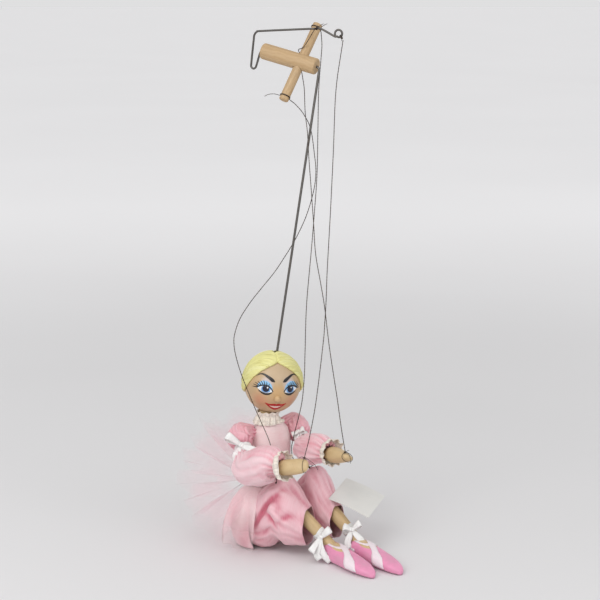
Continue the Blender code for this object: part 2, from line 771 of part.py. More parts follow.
def build_sleeve(side, shoulder, elbow):
    arm_r = UPPER_ARM_RADIUS + CLOTH_GAP
    ribbon_at = UPPER_ARM_LENGTH * RIBBON_PLACE[side]
    rows = []
    top, bottom = 0.0045, ribbon_at - RIBBON_WIDTH / 2 - CLOTH_GAP
    for i in range(5):
        t = i / 4
        z = top + (bottom - top) * t
        swell = arm_r + 0.0005 + 0.0042 * math.sin(math.pi * min(1.0, t * 0.8 + 0.32)) ** 0.8
        row = []
        for k in range(18):
            angle = 2 * math.pi * k / 18
            r = swell + 0.0006 * math.sin(6 * angle) * math.sin(math.pi * t)
            row.append(Vector((r * math.cos(angle), r * math.sin(angle), z)))
        rows.append(row)
    sheet(side + "_cap_sleeve", rows, SATIN, CLOTH, True, shoulder)
    band(
        side + "_sleeve_ribbon", arm_r, RIBBON_WIDTH, RIBBON_THICKNESS, RIBBON, shoulder,
        ribbon_at,
    )
    build_puff(side, shoulder, elbow, ribbon_at + RIBBON_WIDTH / 2 + CLOTH + CLOTH_GAP)
    build_cuff(side, elbow)


def build_puff(side, shoulder, elbow, start):
    """The puffed sleeve from the ribbon, round the elbow, to the wrist."""
    upper, fore = shoulder.matrix_world, elbow.matrix_world
    stations = [upper @ Vector((0, 0, start)), upper @ Vector((0, 0, UPPER_ARM_LENGTH - 0.002))]
    stations += [fore @ Vector((0, 0, z)) for z in (0.009, 0.017, 0.025, 0.0325)]
    full = PUFF_RADIUS[side]
    radii = (
        UPPER_ARM_RADIUS + 0.0012, full * 0.84, full, full * 0.98, full * 0.80,
        FOREARM_RADIUS + 0.0012,
    )
    centres = smooth_route(stations, 8)
    side_axis = joints_of(side)["elbow_axis"]
    rows = []
    for i, centre in enumerate(centres):
        place = (len(radii) - 1) * i / (len(centres) - 1)
        k = min(int(place), len(radii) - 2)
        radius = radii[k] + (radii[k + 1] - radii[k]) * (place - k)
        ahead = centres[min(i + 1, len(centres) - 1)] - centres[max(i - 1, 0)]
        ring = frame(centre, ahead, side_axis)
        share = i / (len(centres) - 1)
        row = []
        for n in range(18):
            angle = 2 * math.pi * n / 18
            r = radius + 0.0007 * math.sin(6 * angle + 2 * share) * math.sin(math.pi * share)
            row.append(ring @ Vector((r * math.cos(angle), r * math.sin(angle), 0)))
        rows.append(row)
    sheet(side + "_puff_sleeve", rows, SATIN, CLOTH, True)


def flounce(name, inner, outer, z_inner, z_outer, flutes, depth, finish, parent, matrix):
    """A gathered lace ruffle about local Z."""
    around = flutes * 4
    rows = []
    for i in range(3):
        t = i / 2
        row = []
        for k in range(around):
            angle = 2 * math.pi * k / around
            wave = depth * t * math.sin(flutes * angle)
            r = inner + (outer - inner) * t
            z = z_inner + (z_outer - z_inner) * t + wave
            row.append(matrix @ Vector((r * math.cos(angle), r * math.sin(angle), z)))
        rows.append(row)
    return sheet(name, rows, finish, CLOTH, True, parent)


def build_cuff(side, elbow):
    inner = FOREARM_RADIUS + CLOTH_GAP + CLOTH
    flounce(
        side + "_lace_cuff", inner, inner + CUFF_REACH * 0.75, 0.0345, 0.0385, CUFF_FLUTES,
        0.0014, LACE, elbow, Matrix.Identity(4),
    )


def build_leg(side):
    j = joints_of(side)
    hip = empty(side + "_hip", frame(j["hip"], THIGH_AIM[side], j["knee_axis"]))
    knee = empty(side + "_knee", frame(j["knee"], SHIN_AIM[side], j["knee_axis"]))

    r = THIGH_RADIUS
    sections = knob(HIP_KNOB) + [(0.016, r, r)] + fork_end(THIGH_LENGTH, r)
    thigh = limb(side + "_thigh", sections, SKIN_WOOD, hip)
    slot(thigh, hip, KNEE_TONGUE, THIGH_LENGTH, 0.0095)
    bore(thigh, KNEE_PIN_DIAMETER, j["knee"], j["knee_axis"], 0.03)
    bore(thigh, HIP_WIRE_DIAMETER, j["hip"], (1, 0, 0), 0.03)
    name = side + "_knee_pin"
    headed_pin(name, KNEE_PIN_DIAMETER, 2 * r, STEEL, j["knee"], j["knee_axis"], hip)

    s, a, length = SHIN_RADIUS, ANKLE_RADIUS, SHIN_LENGTH
    sections = tongue(KNEE_TONGUE, s, 0.0130) + [
        (length - 0.030, s, s), (length - 0.012, a * 1.05, a * 1.05), (length, a, a),
    ]
    shin = limb(side + "_shin", sections, SKIN_WOOD, knee)
    bore(shin, KNEE_PIN_DIAMETER, j["knee"], j["knee_axis"], 0.03)
    build_shoe(side, j["ankle"], knee)
    width = RIBBON_WIDTH * 0.8
    place = SHIN_LENGTH - 0.0135
    band(
        side + "_ankle_ribbon", a * 1.06 + CLOTH_GAP, width, RIBBON_THICKNESS, RIBBON, knee,
        place - width,
    )
    build_bloomer_leg(side)


def build_shoe(side, ankle, knee):
    """A slipper with a flat sole, pointing along -Y, with a socket for the shin."""
    stations = (
        (0.00, 0.42, 0.60), (0.03, 0.66, 0.86), (0.10, 0.84, 1.00), (0.24, 0.90, 1.00),
        (0.42, 0.97, 0.88), (0.60, 1.00, 0.74), (0.78, 0.88, 0.60), (0.91, 0.62, 0.46),
        (0.97, 0.40, 0.34), (1.00, 0.16, 0.20),
    )
    rings = []
    for share, wide, tall in stations:
        y = ankle.y + SHOE_HEEL - SHOE_LENGTH * share
        half, height = SHOE_HALF_WIDTH * wide, SHOE_HEIGHT * tall
        ring = []
        for point in oval(half, height / 2, 0, 16, 2.5):
            ring.append(Vector((ankle.x + point.x, y, SOLE_LIFT + height / 2 + point.y)))
        rings.append(ring)
    shoe = add(side + "_shoe", closed_mesh(side + "_shoe", rings), SHOE_PAINT)
    shoe.parent = knee
    shoe.matrix_local = knee.matrix_world.inverted()
    aim = SHIN_AIM[side].normalized()
    reach = 0.03
    socket = frame(ankle - aim * reach, aim, Vector((1, 0, 0)))
    cut_with(shoe, round_cutter(ANKLE_RADIUS * 1.05 + FIT_GAP, reach + FIT_GAP, socket, 16))


# Skirts and bloomers
def bloomer_rings(side):
    """Stations along the leg: distance, centre height, half height, inner and outer half width."""
    snug = THIGH_RADIUS + CLOTH_GAP + CLOTH
    lap = {"right": 1.0, "left": 0.84}[side]
    crown = {"right": 0.0, "left": 0.0060}[side]
    wide = {"right": 1.0, "left": 0.74}[side]
    tuck = {"right": 0.0035, "left": 0.0010}[side]
    slope = THIGH_AIM[side].z / math.hypot(THIGH_AIM[side].x, THIGH_AIM[side].y)
    start = 0.021
    return [
        (start, HIP_HEIGHT + slope * start, snug * 1.22, snug, snug),
        (0.027, 0.0385 + crown, 0.0250 * lap + crown, 0.0100, 0.0165 * wide),
        (0.034, 0.0400 + crown + tuck, 0.0330 * lap + crown - tuck, 0.0135, 0.0225 * wide),
        (0.043, 0.0390 + crown * 0.6 + tuck, 0.0360 * lap + crown * 0.6 - tuck, 0.0145, 0.0240 * wide),
        (0.052, 0.0350 + tuck, 0.0310 * lap - tuck, 0.0135, 0.0200 * wide),
        (0.058, 0.0315 + tuck * 0.7, 0.0250 * lap - tuck * 0.7, 0.0120, 0.0155 * wide),
        (0.063, 0.0295 + tuck * 0.5, 0.0190 * lap - tuck * 0.5, 0.0110, 0.0125 * wide),
    ]


def bloomer_point(side, row, spoke):
    """A point of the bloomer leg's cloth and the way out from it there."""
    forward = Vector((THIGH_AIM[side].x, THIGH_AIM[side].y, 0)).normalized()
    inward = UP.cross(forward) * -SIDES[side]
    stations = bloomer_rings(side)
    along, height, half, inner, outer = stations[row]
    hip = joints_of(side)["hip"]
    centre = Vector((hip.x, hip.y, 0)) + forward * along + UP * height
    share = row / (len(stations) - 1)
    angle = 2 * math.pi * spoke / BLOOMER_SPOKES
    fold = 1 + 0.045 * math.sin(5 * angle + 3 * share) * math.sin(math.pi * share)
    c, s = math.cos(angle), math.sin(angle)
    wide = inner if c > 0 else outer
    out = (inward * c / wide + UP * s / half).normalized()
    return centre + inward * c * wide * fold + UP * s * half * fold, out


def build_bloomer_leg(side):
    rows = []
    for row in range(len(bloomer_rings(side))):
        rows.append([bloomer_point(side, row, n)[0] for n in range(BLOOMER_SPOKES)])
    sheet(side + "_bloomer_leg", rows, SATIN, CLOTH, True)


def build_bloomer_seat():
    top = BODICE_BOTTOM - 0.0020
    wide, deep, back = torso_section(top)
    sections = (
        (top, wide + BODICE_EASE, deep + BODICE_EASE),
        (0.0500, 0.0260, 0.0200), (0.0400, 0.0370, 0.0240),
        (0.0250, 0.0390, 0.0255), (0.0120, 0.0375, 0.0250), (0.0040, 0.0335, 0.0230),
    )
    rows = []
    for i, (z, wide, deep) in enumerate(sections):
        share = i / (len(sections) - 1)
        row = []
        for p in oval(wide, deep, z, 24, TORSO_SQUARENESS):
            angle = math.atan2(p.y, p.x)
            fold = 1 + 0.03 * math.sin(9 * angle) * math.sin(math.pi * share)
            row.append(Vector((p.x * fold, p.y * fold + back, z)))
        rows.append(row)
    seat = sheet("bloomer_seat", rows, SATIN, CLOTH, True)
    front = box_cutter((-0.06, -0.06, -0.01), (0.06, -0.0080, 0.07), Matrix.Identity(4))
    cut_with(seat, front)


def build_bodice():
    between = [s[0] for s in TORSO_SECTIONS if BODICE_BOTTOM < s[0] < BODICE_TOP]
    rows = [torso_ring(z, BODICE_EASE) for z in (BODICE_BOTTOM, *between, BODICE_TOP)]
    bodice = sheet("bodice", rows, PALE_NYLON, CLOTH, True)
    for sign in SIDES.values():
        start = (sign * 0.010, SHOULDER_SETBACK, SHOULDER_HEIGHT)
        place = frame(start, (sign, 0, 0), (0, 1, 0))
        cut_with(bodice, round_cutter(ARMHOLE_RADIUS, 0.03, place))


def build_collar():
    base = BODICE_TOP + COLLAR_DROP + 0.0060
    along = (base - ROD_FOOT.z) / ROD_AIM.z
    centre = ROD_FOOT + ROD_AIM * along
    inner = NECK_RADIUS + CLOTH_GAP + CLOTH
    flounce(
        "lace_collar", inner, COLLAR_REACH, 0.0, -COLLAR_DROP, COLLAR_FLUTES, 0.0014, LACE,
        None, Matrix.Translation(centre),
    )


def waist(angle, z, clear):
    """A point round the trunk at a height, clear of it by this much."""
    wide, deep, back = torso_section(z)
    power = TORSO_SQUARENESS
    c, s = math.cos(angle), math.sin(angle)
    reach = (abs(c / (wide + clear)) ** power + abs(s / (deep + clear)) ** power) ** (-1 / power)
    return Vector((reach * c, back + reach * s, z))


def build_tulle(name, z, lift, phase, span):
    """A gathered net layer that springs from the waist and stands off in flutes."""
    around, rows = 30, []
    for i in range(5):
        t = i / 4
        row = []
        for k in range(around + 1):
            share = k / around
            angle = span[0] + (span[1] - span[0]) * share
            out = Vector((math.cos(angle), math.sin(angle), 0))
            reach = TULLE_LENGTH * t
            flute = math.sin(TULLE_FLUTES * 2 * math.pi * share + phase)
            rise = reach * math.sin(lift) + TULLE_FLUTE_DEPTH * t**1.3 * flute
            spread = reach * math.cos(lift) * (1 - 0.04 * (1 - flute) * t)
            row.append(waist(angle, z, SKIRT_EASE) + out * spread + UP * rise)
        rows.append(row)
    sheet(name, rows, TULLE, CLOTH)


def build_overskirt():
    top, bottom = 0.0600, OVERSKIRT_HEM
    around, rows = 15, []
    for i in range(6):
        t = i / 5
        row = []
        for k in range(around + 1):
            share = k / around
            angle = OVERSKIRT_START + (OVERSKIRT_END - OVERSKIRT_START) * share
            out = Vector((math.cos(angle), math.sin(angle), 0))
            fold = 0.0022 * t * math.sin(3 * 2 * math.pi * share)
            spread = OVERSKIRT_FLARE * math.sin(t * math.pi / 2) ** 0.5 + fold
            point = waist(angle, top, SKIRT_EASE) + out * spread
            point.z = top + (bottom - top) * t
            row.append(point)
        rows.append(row)
    sheet("overskirt", rows, PALE_NYLON, CLOTH)


# Strings, knots and the tag
def string_ends():
    """Start and end of each string, a fit gap clear of its knots."""
    step = KNOT_THREAD / 2 + FIT_GAP + STRING_DIAMETER / 2
    outward = (Vector((1, 0, 0)) - BAR_AIM * BAR_AIM.x).normalized()
    half = CROSS_BAR_LENGTH / 2 - BAR_KNOT_INSET
    wire = hand_wire_axis.matrix_world
    tie, _ = wire_tie_centre()
    loop = HAND_WIRE_DIAMETER / 2 + KNOT_THREAD + 2 * FIT_GAP
    spot, out = eye_tie()
    low_eye = spot + out * (loop + 0.0008 + STRING_DIAMETER / 2)
    return {
        "near": BAR_CENTRE - BAR_AIM * half + outward * (bar_knot_radius() + step),
        "far": BAR_CENTRE + BAR_AIM * half + outward * (bar_knot_radius() + step),
        "wire": wire @ (tie + Vector((0, 0.0008 + loop, 0))),
        "eye": wire @ low_eye,
    }


def round_the_handle():
    """The left hand string's way across the bar, over the handle and down its far side."""
    bar, grip = CROSS_BAR_DIAMETER / 2 + STRING_CLEAR, HANDLE_DIAMETER / 2 + STRING_CLEAR
    away = HANDLE_AIM.cross(BAR_AIM)
    steps = (
        (0.0005, grip + 0.0045, -bar),
        (bar, grip + 0.0010, -0.0025),
        (bar + 0.0004, grip - 0.0006, 0.0045),
        (bar - 0.0007, 0.0020, grip),
        (0.0025, -0.0055, grip - 0.0008),
        (-0.0010, -0.0130, bar + 0.0010),
    )
    return [BAR_CENTRE + HANDLE_AIM * a + BAR_AIM * c + away * w for a, c, w in steps]


def string(name, start, route, end, first=()):
    points = [start, *first, *[Vector(p) / 1000 for p in route], end]
    tube(name, smooth_route(points, STRING_POINTS), STRING_DIAMETER, THREAD)


def knee_tie(side):
    """The middle of the knee string's knot, on top of the bloomer leg."""
    point, out = bloomer_point(side, 2, KNEE_TIE_SPOKE[side])
    return point + out * (CLOTH / 2 + FIT_GAP + KNOT_THREAD)


def hand_knot(side):
    j = joints_of(side)
    elbow = frame(j["elbow"], FOREARM_AIM[side], j["elbow_axis"])
    thin, broad = (0.43, 0.79) if side == "right" else (0.79, 0.43)
    half_x, half_y = HAND_HALF_WIDTH * thin, HAND_HALF_WIDTH * broad
    clear = FIT_GAP + KNOT_THREAD / 2
    rows = oval(half_x + clear, half_y + clear, FOREARM_LENGTH - HAND_LOOP_SETBACK, 20)
    return elbow, rows


def build_hand_knot(side):
    """The string's loop round the fingers, as one closed thread ring."""
    elbow, points = hand_knot(side)
    parent = bpy.data.objects[side + "_elbow"]
    curve = bpy.data.curves.new(side + "_hand_knot", "CURVE")
    curve.dimensions = "3D"
    curve.bevel_depth = KNOT_THREAD / 2
    curve.bevel_resolution = 1
    line = curve.splines.new("POLY")
    line.points.add(len(points) - 1)
    for spot, point in zip(line.points, points):
        spot.co = (*point, 1.0)
    line.use_cyclic_u = True
    add(side + "_hand_knot", curve, THREAD, parent)
    top = max((elbow @ p for p in points), key=lambda p: p.z)
    return top + UP * (KNOT_THREAD / 2 + FIT_GAP + STRING_DIAMETER / 2)


def build_knee_knot(side):
    shape = bmesh.new()
    bmesh.ops.create_icosphere(shape, subdivisions=2, radius=KNOT_THREAD)
    name = side + "_knee_knot"
    hip = bpy.data.objects[side + "_hip"]
    place = hip.matrix_world.inverted() @ Matrix.Translation(knee_tie(side))
    add(name, finished(name, shape), THREAD, hip, place)
    return knee_tie(side) + UP * (KNOT_THREAD + FIT_GAP + STRING_DIAMETER / 2)


def build_strings():
    ends = string_ends()
    string("right_knee_string", ends["near"], NEAR_BAR_ROUTE, build_knee_knot("right"))
    string("left_knee_string", ends["far"], FAR_BAR_ROUTE, build_knee_knot("left"))
    string(
        "left_hand_string", ends["wire"], WIRE_ROUTE, build_hand_knot("left"), round_the_handle()
    )
    string("right_hand_string", ends["eye"], EYE_ROUTE, build_hand_knot("right"))


def tag_frame():
    """The card's corner and directions: it lies across the left hem and droops outward."""
    corner = Vector((0.0240, -0.0620, 0.0538))
    along = Vector((0.049, 0.030, 0.006)).normalized()
    across = Vector((0.042, -0.004, -0.006))
    across = (across - along * across.dot(along)).normalized()
    return corner, along, across


def build_tag():
    corner, along, across = tag_frame()
    wide, deep = TAG_SIZE
    rows = []
    for i in range(5):
        t = i / 4
        curl = UP * 0.0012 * math.sin(math.pi * t)
        start = corner + across * deep * t + curl
        rows.append([start + along * wide * k / 5 for k in range(6)])
    knee = bpy.data.objects["left_knee"]
    card = sheet("swing_tag", rows, CARD, TAG_THICKNESS)
    card.parent = knee
    card.matrix_local = knee.matrix_world.inverted()


def main():
    build_rod()
    build_control()
    build_hand_wire()
    build_head()
    build_trunk()
    for side in SIDES:
        build_arm(side)
        build_leg(side)
    build_bloomer_seat()
    build_bodice()
    build_collar()
    build_tulle("tulle_upper", 0.0670, math.radians(36), 0.0, TULLE_UPPER_SPAN)
    build_tulle("tulle_lower", 0.0615, math.radians(-30), 1.6, TULLE_LOWER_SPAN)
    build_overskirt()
    bpy.context.view_layer.update()
    build_strings()
    build_tag()


main()
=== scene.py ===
"""Strings, clothes, paint and studio for a seated ballerina marionette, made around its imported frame."""

import json
from math import asin, atan2, cos, degrees, exp, hypot, pi, radians, sin, sqrt

import bpy
from bpy.props import FloatProperty, FloatVectorProperty, IntProperty, PointerProperty
from mathutils import Matrix, Quaternion, Vector, noise
from mathutils.bvhtree import BVHTree


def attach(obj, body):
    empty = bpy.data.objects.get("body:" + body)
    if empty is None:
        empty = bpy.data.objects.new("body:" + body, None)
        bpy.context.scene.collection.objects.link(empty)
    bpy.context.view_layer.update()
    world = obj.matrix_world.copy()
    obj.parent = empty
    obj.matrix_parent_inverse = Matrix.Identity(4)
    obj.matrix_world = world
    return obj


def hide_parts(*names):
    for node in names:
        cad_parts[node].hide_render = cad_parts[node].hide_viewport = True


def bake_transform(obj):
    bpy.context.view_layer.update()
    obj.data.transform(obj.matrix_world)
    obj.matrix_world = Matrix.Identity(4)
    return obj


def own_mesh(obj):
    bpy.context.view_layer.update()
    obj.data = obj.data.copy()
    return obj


bl_info = {
    "name": "Marionette Dresser",
    "version": (1, 0, 0),
    "blender": (4, 5, 0),
    "location": "View3D > Sidebar > Marionette",
    "description": "Strings, clothes, paint and studio for a seated wooden marionette",
    "category": "Object",
}

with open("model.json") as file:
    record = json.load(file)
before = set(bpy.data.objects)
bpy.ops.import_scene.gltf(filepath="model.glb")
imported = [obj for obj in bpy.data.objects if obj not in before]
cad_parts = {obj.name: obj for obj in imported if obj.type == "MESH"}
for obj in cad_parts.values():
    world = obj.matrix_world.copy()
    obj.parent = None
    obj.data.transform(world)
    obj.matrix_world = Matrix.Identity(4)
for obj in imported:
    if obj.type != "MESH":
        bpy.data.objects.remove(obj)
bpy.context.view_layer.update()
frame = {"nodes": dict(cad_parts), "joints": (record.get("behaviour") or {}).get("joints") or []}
NODES = frame["nodes"]
JOINTS = {joint["name"]: joint for joint in frame["joints"]}
SIDES = {"right": -1, "left": 1}
UP = Vector((0, 0, 1))
MM = 0.001
TURN = 2 * pi
WHITE = (1.0, 1.0, 1.0, 1.0)
VIEW_TURN, VIEW_RISE = radians(-38), radians(11)

# Frame of the figure, in metres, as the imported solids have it
HEAD_CENTRE = Vector(JOINTS["head_turn"]["pos_m"])
HEAD_AXIS = Vector(JOINTS["head_turn"]["axis"])
HEAD_RADIUS, HEAD_HALF_HEIGHT = 0.0270, 0.0285
HEAD_TURN = radians(-25)
FACE_ROLL = radians(5)
HANDLE_FRONT = Vector(JOINTS["control_roll"]["pos_m"])
HANDLE_AIM = Vector(JOINTS["control_roll"]["axis"])
BAR_CENTRE = Vector((42.3, 4.5, 462.5)) * MM
BAR_AIM = Vector((0.523, 0.021, 0.852)).normalized()
BAR_RADIUS = 0.0046
WIRE_RADIUS = 0.0010
TORSO_SECTIONS = (
    (0.000, 0.0092, 0.0150, 0.0050),
    (0.034, 0.0100, 0.0160, 0.0050),
    (0.048, 0.0155, 0.0150, 0.0035),
    (0.060, 0.0175, 0.0145, 0.0015),
    (0.085, 0.0195, 0.0155, 0.0000),
    (0.104, 0.0195, 0.0150, 0.0000),
    (0.114, 0.0170, 0.0130, 0.0000),
    (0.120, 0.0120, 0.0100, 0.0000),
    (0.122, 0.0085, 0.0078, 0.0000),
)
TORSO_SQUARENESS = 2.5
NECK_RADIUS = 0.0080
ROD_FOOT = Vector((-0.007, 0.0, 0.100))
FOREARM_AIM = {"right": Vector((0.33, -0.91, 0.24)), "left": Vector((-0.03, -0.99, 0.11))}
FOREARM_LENGTH, FOREARM_RADIUS, HAND_HALF_WIDTH = 0.066, 0.0051, 0.0074
UPPER_ARM_LENGTH = 0.041
RIBBON_PLACE = {"right": 0.42 * UPPER_ARM_LENGTH, "left": 0.58 * UPPER_ARM_LENGTH}
HAND_LOOP_HALF, HAND_LOOP_SETBACK = {"right": (0.0040, 0.0067), "left": (0.0067, 0.0040)}, 0.0035
SHIN_AIM = {"right": Vector((0.32, -0.70, -0.64)), "left": Vector((0.15, -0.78, -0.60))}
SHIN_LENGTH, SHIN_RADIUS, ANKLE_RADIUS = 0.058, 0.0062, 0.0050
SHOE_LENGTH, SHOE_HALF_WIDTH, SHOE_HEIGHT, SHOE_HEEL = 0.070, 0.0105, 0.0175, 0.0095

# String routes in millimetres from the knot at the top to the knot at the bottom
ROUTES = {
    "right_knee_string": (
        (28.7, 3.6, 427.6), (33, 0, 423), (40, -3, 414), (46, -6, 400), (49, -8, 376), (50, -9, 359),
        (48, -8, 341), (40, -7, 318), (30, -3, 296), (18, 0, 278), (8, 2, 265), (-5, 6, 250),
        (-16, 9, 237), (-25, 12, 223), (-31, 12, 210), (-33, 11, 201), (-34, 7, 190), (-34, -2, 173),
        (-31, -13, 151), (-26, -20, 132), (-20, -28, 109), (-18, -32, 88), (-17.6, -35.1, 72.5),
    ),
    "left_hand_string": (
        (46.5, -11.8, 493.7), (44.7, 2.2, 477.3), (43.2, 8.9, 473.9), (47.4, 12.6, 469.4),
        (47.9, 13.9, 461.1), (48.0, 10.8, 454.0), (46.0, 6.2, 447.2), (45.4, 3.0, 436.5), (38.6, -7, 416),
        (31, -20, 399), (25, -30, 375), (19, -41, 348), (14, -51, 317), (10, -59, 291),
        (9, -68, 264), (8, -75, 243), (7.5, -83, 206), (11, -90, 160), (14, -92.5, 132),
        (17.9, -93.6, 108.9),
    ),
    "left_knee_string": (
        (67.2, 5.2, 490.4), (65, 1, 478), (63, 0, 464), (58, -3, 436), (54, -7, 401), (49, -12, 358),
        (42, -17, 323), (34.0, -22.6, 289), (21.7, -30.8, 237.6), (14.6, -37.6, 195.8), (11.6, -40.1, 169.8),
        (8.6, -39.6, 143.8), (4.8, -32.6, 112.4), (5, -29, 97), (9, -30, 86), (22.0, -34.7, 80.1),
    ),
    "right_hand_string": (
        (62.1, -33.9, 483.5), (53, -35, 438), (42, -45, 383), (31, -55, 334), (25, -60, 305),
        (18, -66, 274), (12, -72, 248), (8, -75, 228), (4, -78, 212), (-8, -83, 161), (-14, -81, 127),
        (-19.6, -80.1, 107.0),
    ),
}
STRING_SPLIT_HEIGHT = 0.400
THREAD_STEP, THREAD_PLY = 0.0006, 0.16
KNEE_STRING_GIVE = 0.142
HAND_WIRE_ROUTE = (
    (29.9, 29.8, 469.4), (25.4, 38.9, 471.9), (24.0, 41.8, 471.7), (23.2, 43.6, 469.1), (21.6, 46.7, 458.6),
    (20.9, 48.1, 455.9), (20.0, 50.0, 455.4), (19.25, 51.5, 456.9), (19.15, 51.7, 460.0), (20.35, 49.3, 482.0),
    (20.75, 48.5, 487.2), (22.0, 45.9, 490.2), (24.8, 40.2, 491.0), (49.6, -10.5, 493.7), (51.3, -14.0, 493.4),
    (52.7, -17.4, 492.2), (56.9, -28.0, 486.7), (57.44, -29.15, 486.73), (57.24, -28.44, 487.52),
    (57.24, -27.84, 489.55), (57.82, -28.4, 491.52), (58.83, -29.88, 492.66), (60.0, -31.65, 492.54),
    (60.96, -32.99, 491.2), (61.43, -33.35, 489.16), (61.32, -32.53, 487.2), (60.78, -30.81, 486.08),
    (60.43, -29.8, 485.98), (60.0, -28.8, 486.2), (59.56, -27.9, 486.9),
)


def srgb(red, green, blue):
    """A colour written in 0 to 255 screen values, as the linear values that shaders use."""
    out = []
    for value in (red, green, blue):
        share = value / 255
        out.append(share / 12.92 if share <= 0.04045 else ((share + 0.055) / 1.055) ** 2.4)
    return tuple(out)


def length_prop(label, text, default):
    return FloatProperty(name=label, description=text, default=default, min=0.0, precision=5, unit="LENGTH")


def count_prop(label, text, default):
    return IntProperty(name=label, description=text, default=default, min=3)


def colour_prop(label, text, screen):
    return FloatVectorProperty(
        name=label, description=text, default=srgb(*screen), size=3, min=0.0, max=1.0, subtype="COLOR"
    )


class MarionetteSizes(bpy.types.PropertyGroup):
    """Sizes of what is made around the frame."""

    string_diameter: length_prop("String", "Diameter of the four strings", 0.0008)
    string_twist: length_prop("String twist", "Length of one turn of the string's two plies", 0.0028)
    cloth: length_prop("Cloth", "Thickness of the sewn cloth", 0.0004)
    lace: length_prop("Lace", "Thickness of the collar and cuffs", 0.0003)
    ribbon_width: length_prop("Ribbon width", "Width of the sleeve and ankle ribbons", 0.0076)
    ribbon: length_prop("Ribbon", "Thickness of the ribbons", 0.0003)
    collar_flutes: count_prop("Collar flutes", "Folds round the lace collar", 11)
    cuff_flutes: count_prop("Cuff flutes", "Folds round each lace cuff", 11)
    tulle_flutes: count_prop("Net flutes", "Folds along each net layer", 5)
    tulle_length: length_prop("Net length", "Cut length of the net from waist to edge", 0.074)
    hair_strands: count_prop("Hair strands", "Combed ridges from the brow to the nape", 64)


class MarionetteColours(bpy.types.PropertyGroup):
    """Colours of the finishes."""

    beech: colour_prop("Beech", "Bare wood of the control", (199, 170, 130))
    steel: colour_prop("Steel", "Drawn wire", (104, 101, 98))
    limb: colour_prop("Limb", "Varnished wood of hands and legs", (211, 184, 139))
    skin: colour_prop("Skin", "Paint of the face", (200, 169, 129))
    hair: colour_prop("Hair", "Paint of the hair", (228, 223, 150))
    satin: colour_prop("Satin", "Pink of the sleeves and bloomers", (239, 203, 209))
    # Painted shade: the pink that the satin is darkened to in the depth of a fold.
    satin_fold_shade: colour_prop("Satin folds", "Pink in the depth of a fold", (226, 134, 152))
    nylon: colour_prop("Nylon", "Pale pink of the bodice and overskirt", (238, 212, 212))
    tulle: colour_prop("Net", "Pink of the net skirt", (255, 184, 200))
    lace: colour_prop("Lace", "Cream of the collar and cuffs", (246, 238, 226))
    ribbon: colour_prop("Ribbon", "White of the bows", (240, 240, 238))
    shoe: colour_prop("Shoe", "Pink of the slippers", (236, 152, 188))
    shoe_strap: colour_prop("Strap", "Pale straps of the slippers", (246, 232, 238))
    thread: colour_prop("Thread", "Brown black of the strings", (50, 40, 36))
    card: colour_prop("Card", "White of the blank card", (224, 223, 219))


class MarionetteStage(bpy.types.PropertyGroup):
    """The camera's place and the studio."""

    distance: length_prop("Distance", "From the camera to what it looks at", 1.5)
    half_view: length_prop("Half view", "Half the width of the picture at that distance", 0.285)
    target: FloatVectorProperty(
        name="Target", description="Point in the middle of the picture", default=(0.0235, -0.0184, 0.240),
        size=3, subtype="TRANSLATION", unit="LENGTH",
    )
    azimuth: FloatProperty(
        name="Azimuth", description="Camera's way round the figure", default=VIEW_TURN,
        subtype="ANGLE", unit="ROTATION",
    )
    elevation: FloatProperty(
        name="Elevation", description="Camera's height as an angle", default=VIEW_RISE,
        subtype="ANGLE", unit="ROTATION",
    )
    floor: colour_prop("Floor", "Paper of the floor", (232, 231, 232))


# Values, points, routes and frames
def clamp(value, low=0.0, high=1.0):
    return max(low, min(high, value))


def measure(name):
    """One of the sizes."""
    return getattr(bpy.context.scene.marionette_sizes, name)


def tint(name):
    """One of the colours, as plain numbers."""
    return tuple(getattr(bpy.context.scene.marionette_colours, name))


def blended(first, second, share):
    """A colour between two others."""
    return tuple(a * (1 - share) + b * share for a, b in zip(tint(first), tint(second)))


def square_to(way, aim):
    """The part of a way that is square to an aim, one long."""
    return (way - aim * way.dot(aim)).normalized()


def outward(angle):
    """The level way out at an angle round the figure."""
    return Vector((cos(angle), sin(angle), 0))


def axes(origin, z_way, x_hint):
    """A frame at origin whose Z runs along z_way and whose X is near x_hint."""
    z = Vector(z_way).normalized()
    x = square_to(Vector(x_hint), z)
    y = z.cross(x)
    return Matrix((
        (x.x, y.x, z.x, origin[0]), (x.y, y.y, z.y, origin[1]), (x.z, y.z, z.z, origin[2]), (0, 0, 0, 1),
    ))


def smooth_route(points, count):
    """Points on a Catmull-Rom curve through the given ones."""
    route = [Vector(p) for p in points]
    route = [2 * route[0] - route[1], *route, 2 * route[-1] - route[-2]]
    spans, out = len(route) - 3, []
    for i in range(count):
        place = spans * i / (count - 1)
        k = min(int(place), spans - 1)
        t = place - k
        a, b, c, d = route[k : k + 4]
        curve = 2 * b + (c - a) * t + (2 * a - 5 * b + 4 * c - d) * t**2 + (3 * b - a - 3 * c + d) * t**3
        out.append(0.5 * curve)
    return out


def length_of(points):
    return sum((b - a).length for a, b in zip(points, points[1:]))


def evenly(points, step):
    """The same line with a point every step, near enough."""
    total = length_of(points)
    count = max(2, round(total / step) + 1)
    want, gone, i, out = total / (count - 1), 0.0, 0, [points[0]]
    while len(out) < count - 1:
        span = (points[i + 1] - points[i]).length
        target = want * len(out)
        if gone + span >= target:
            out.append(points[i].lerp(points[i + 1], (target - gone) / max(span, 1e-9)))
        else:
            gone += span
            i += 1
    return [*out, points[-1]]


def between(stations, place):
    """Values at a place along rows of (place, value, value...), on a straight line between two rows."""
    if place <= stations[0][0]:
        return list(stations[0][1:])
    for low, high in zip(stations, stations[1:]):
        if place <= high[0]:
            t = (place - low[0]) / (high[0] - low[0])
            return [a + (b - a) * t for a, b in zip(low[1:], high[1:])]
    return list(stations[-1][1:])


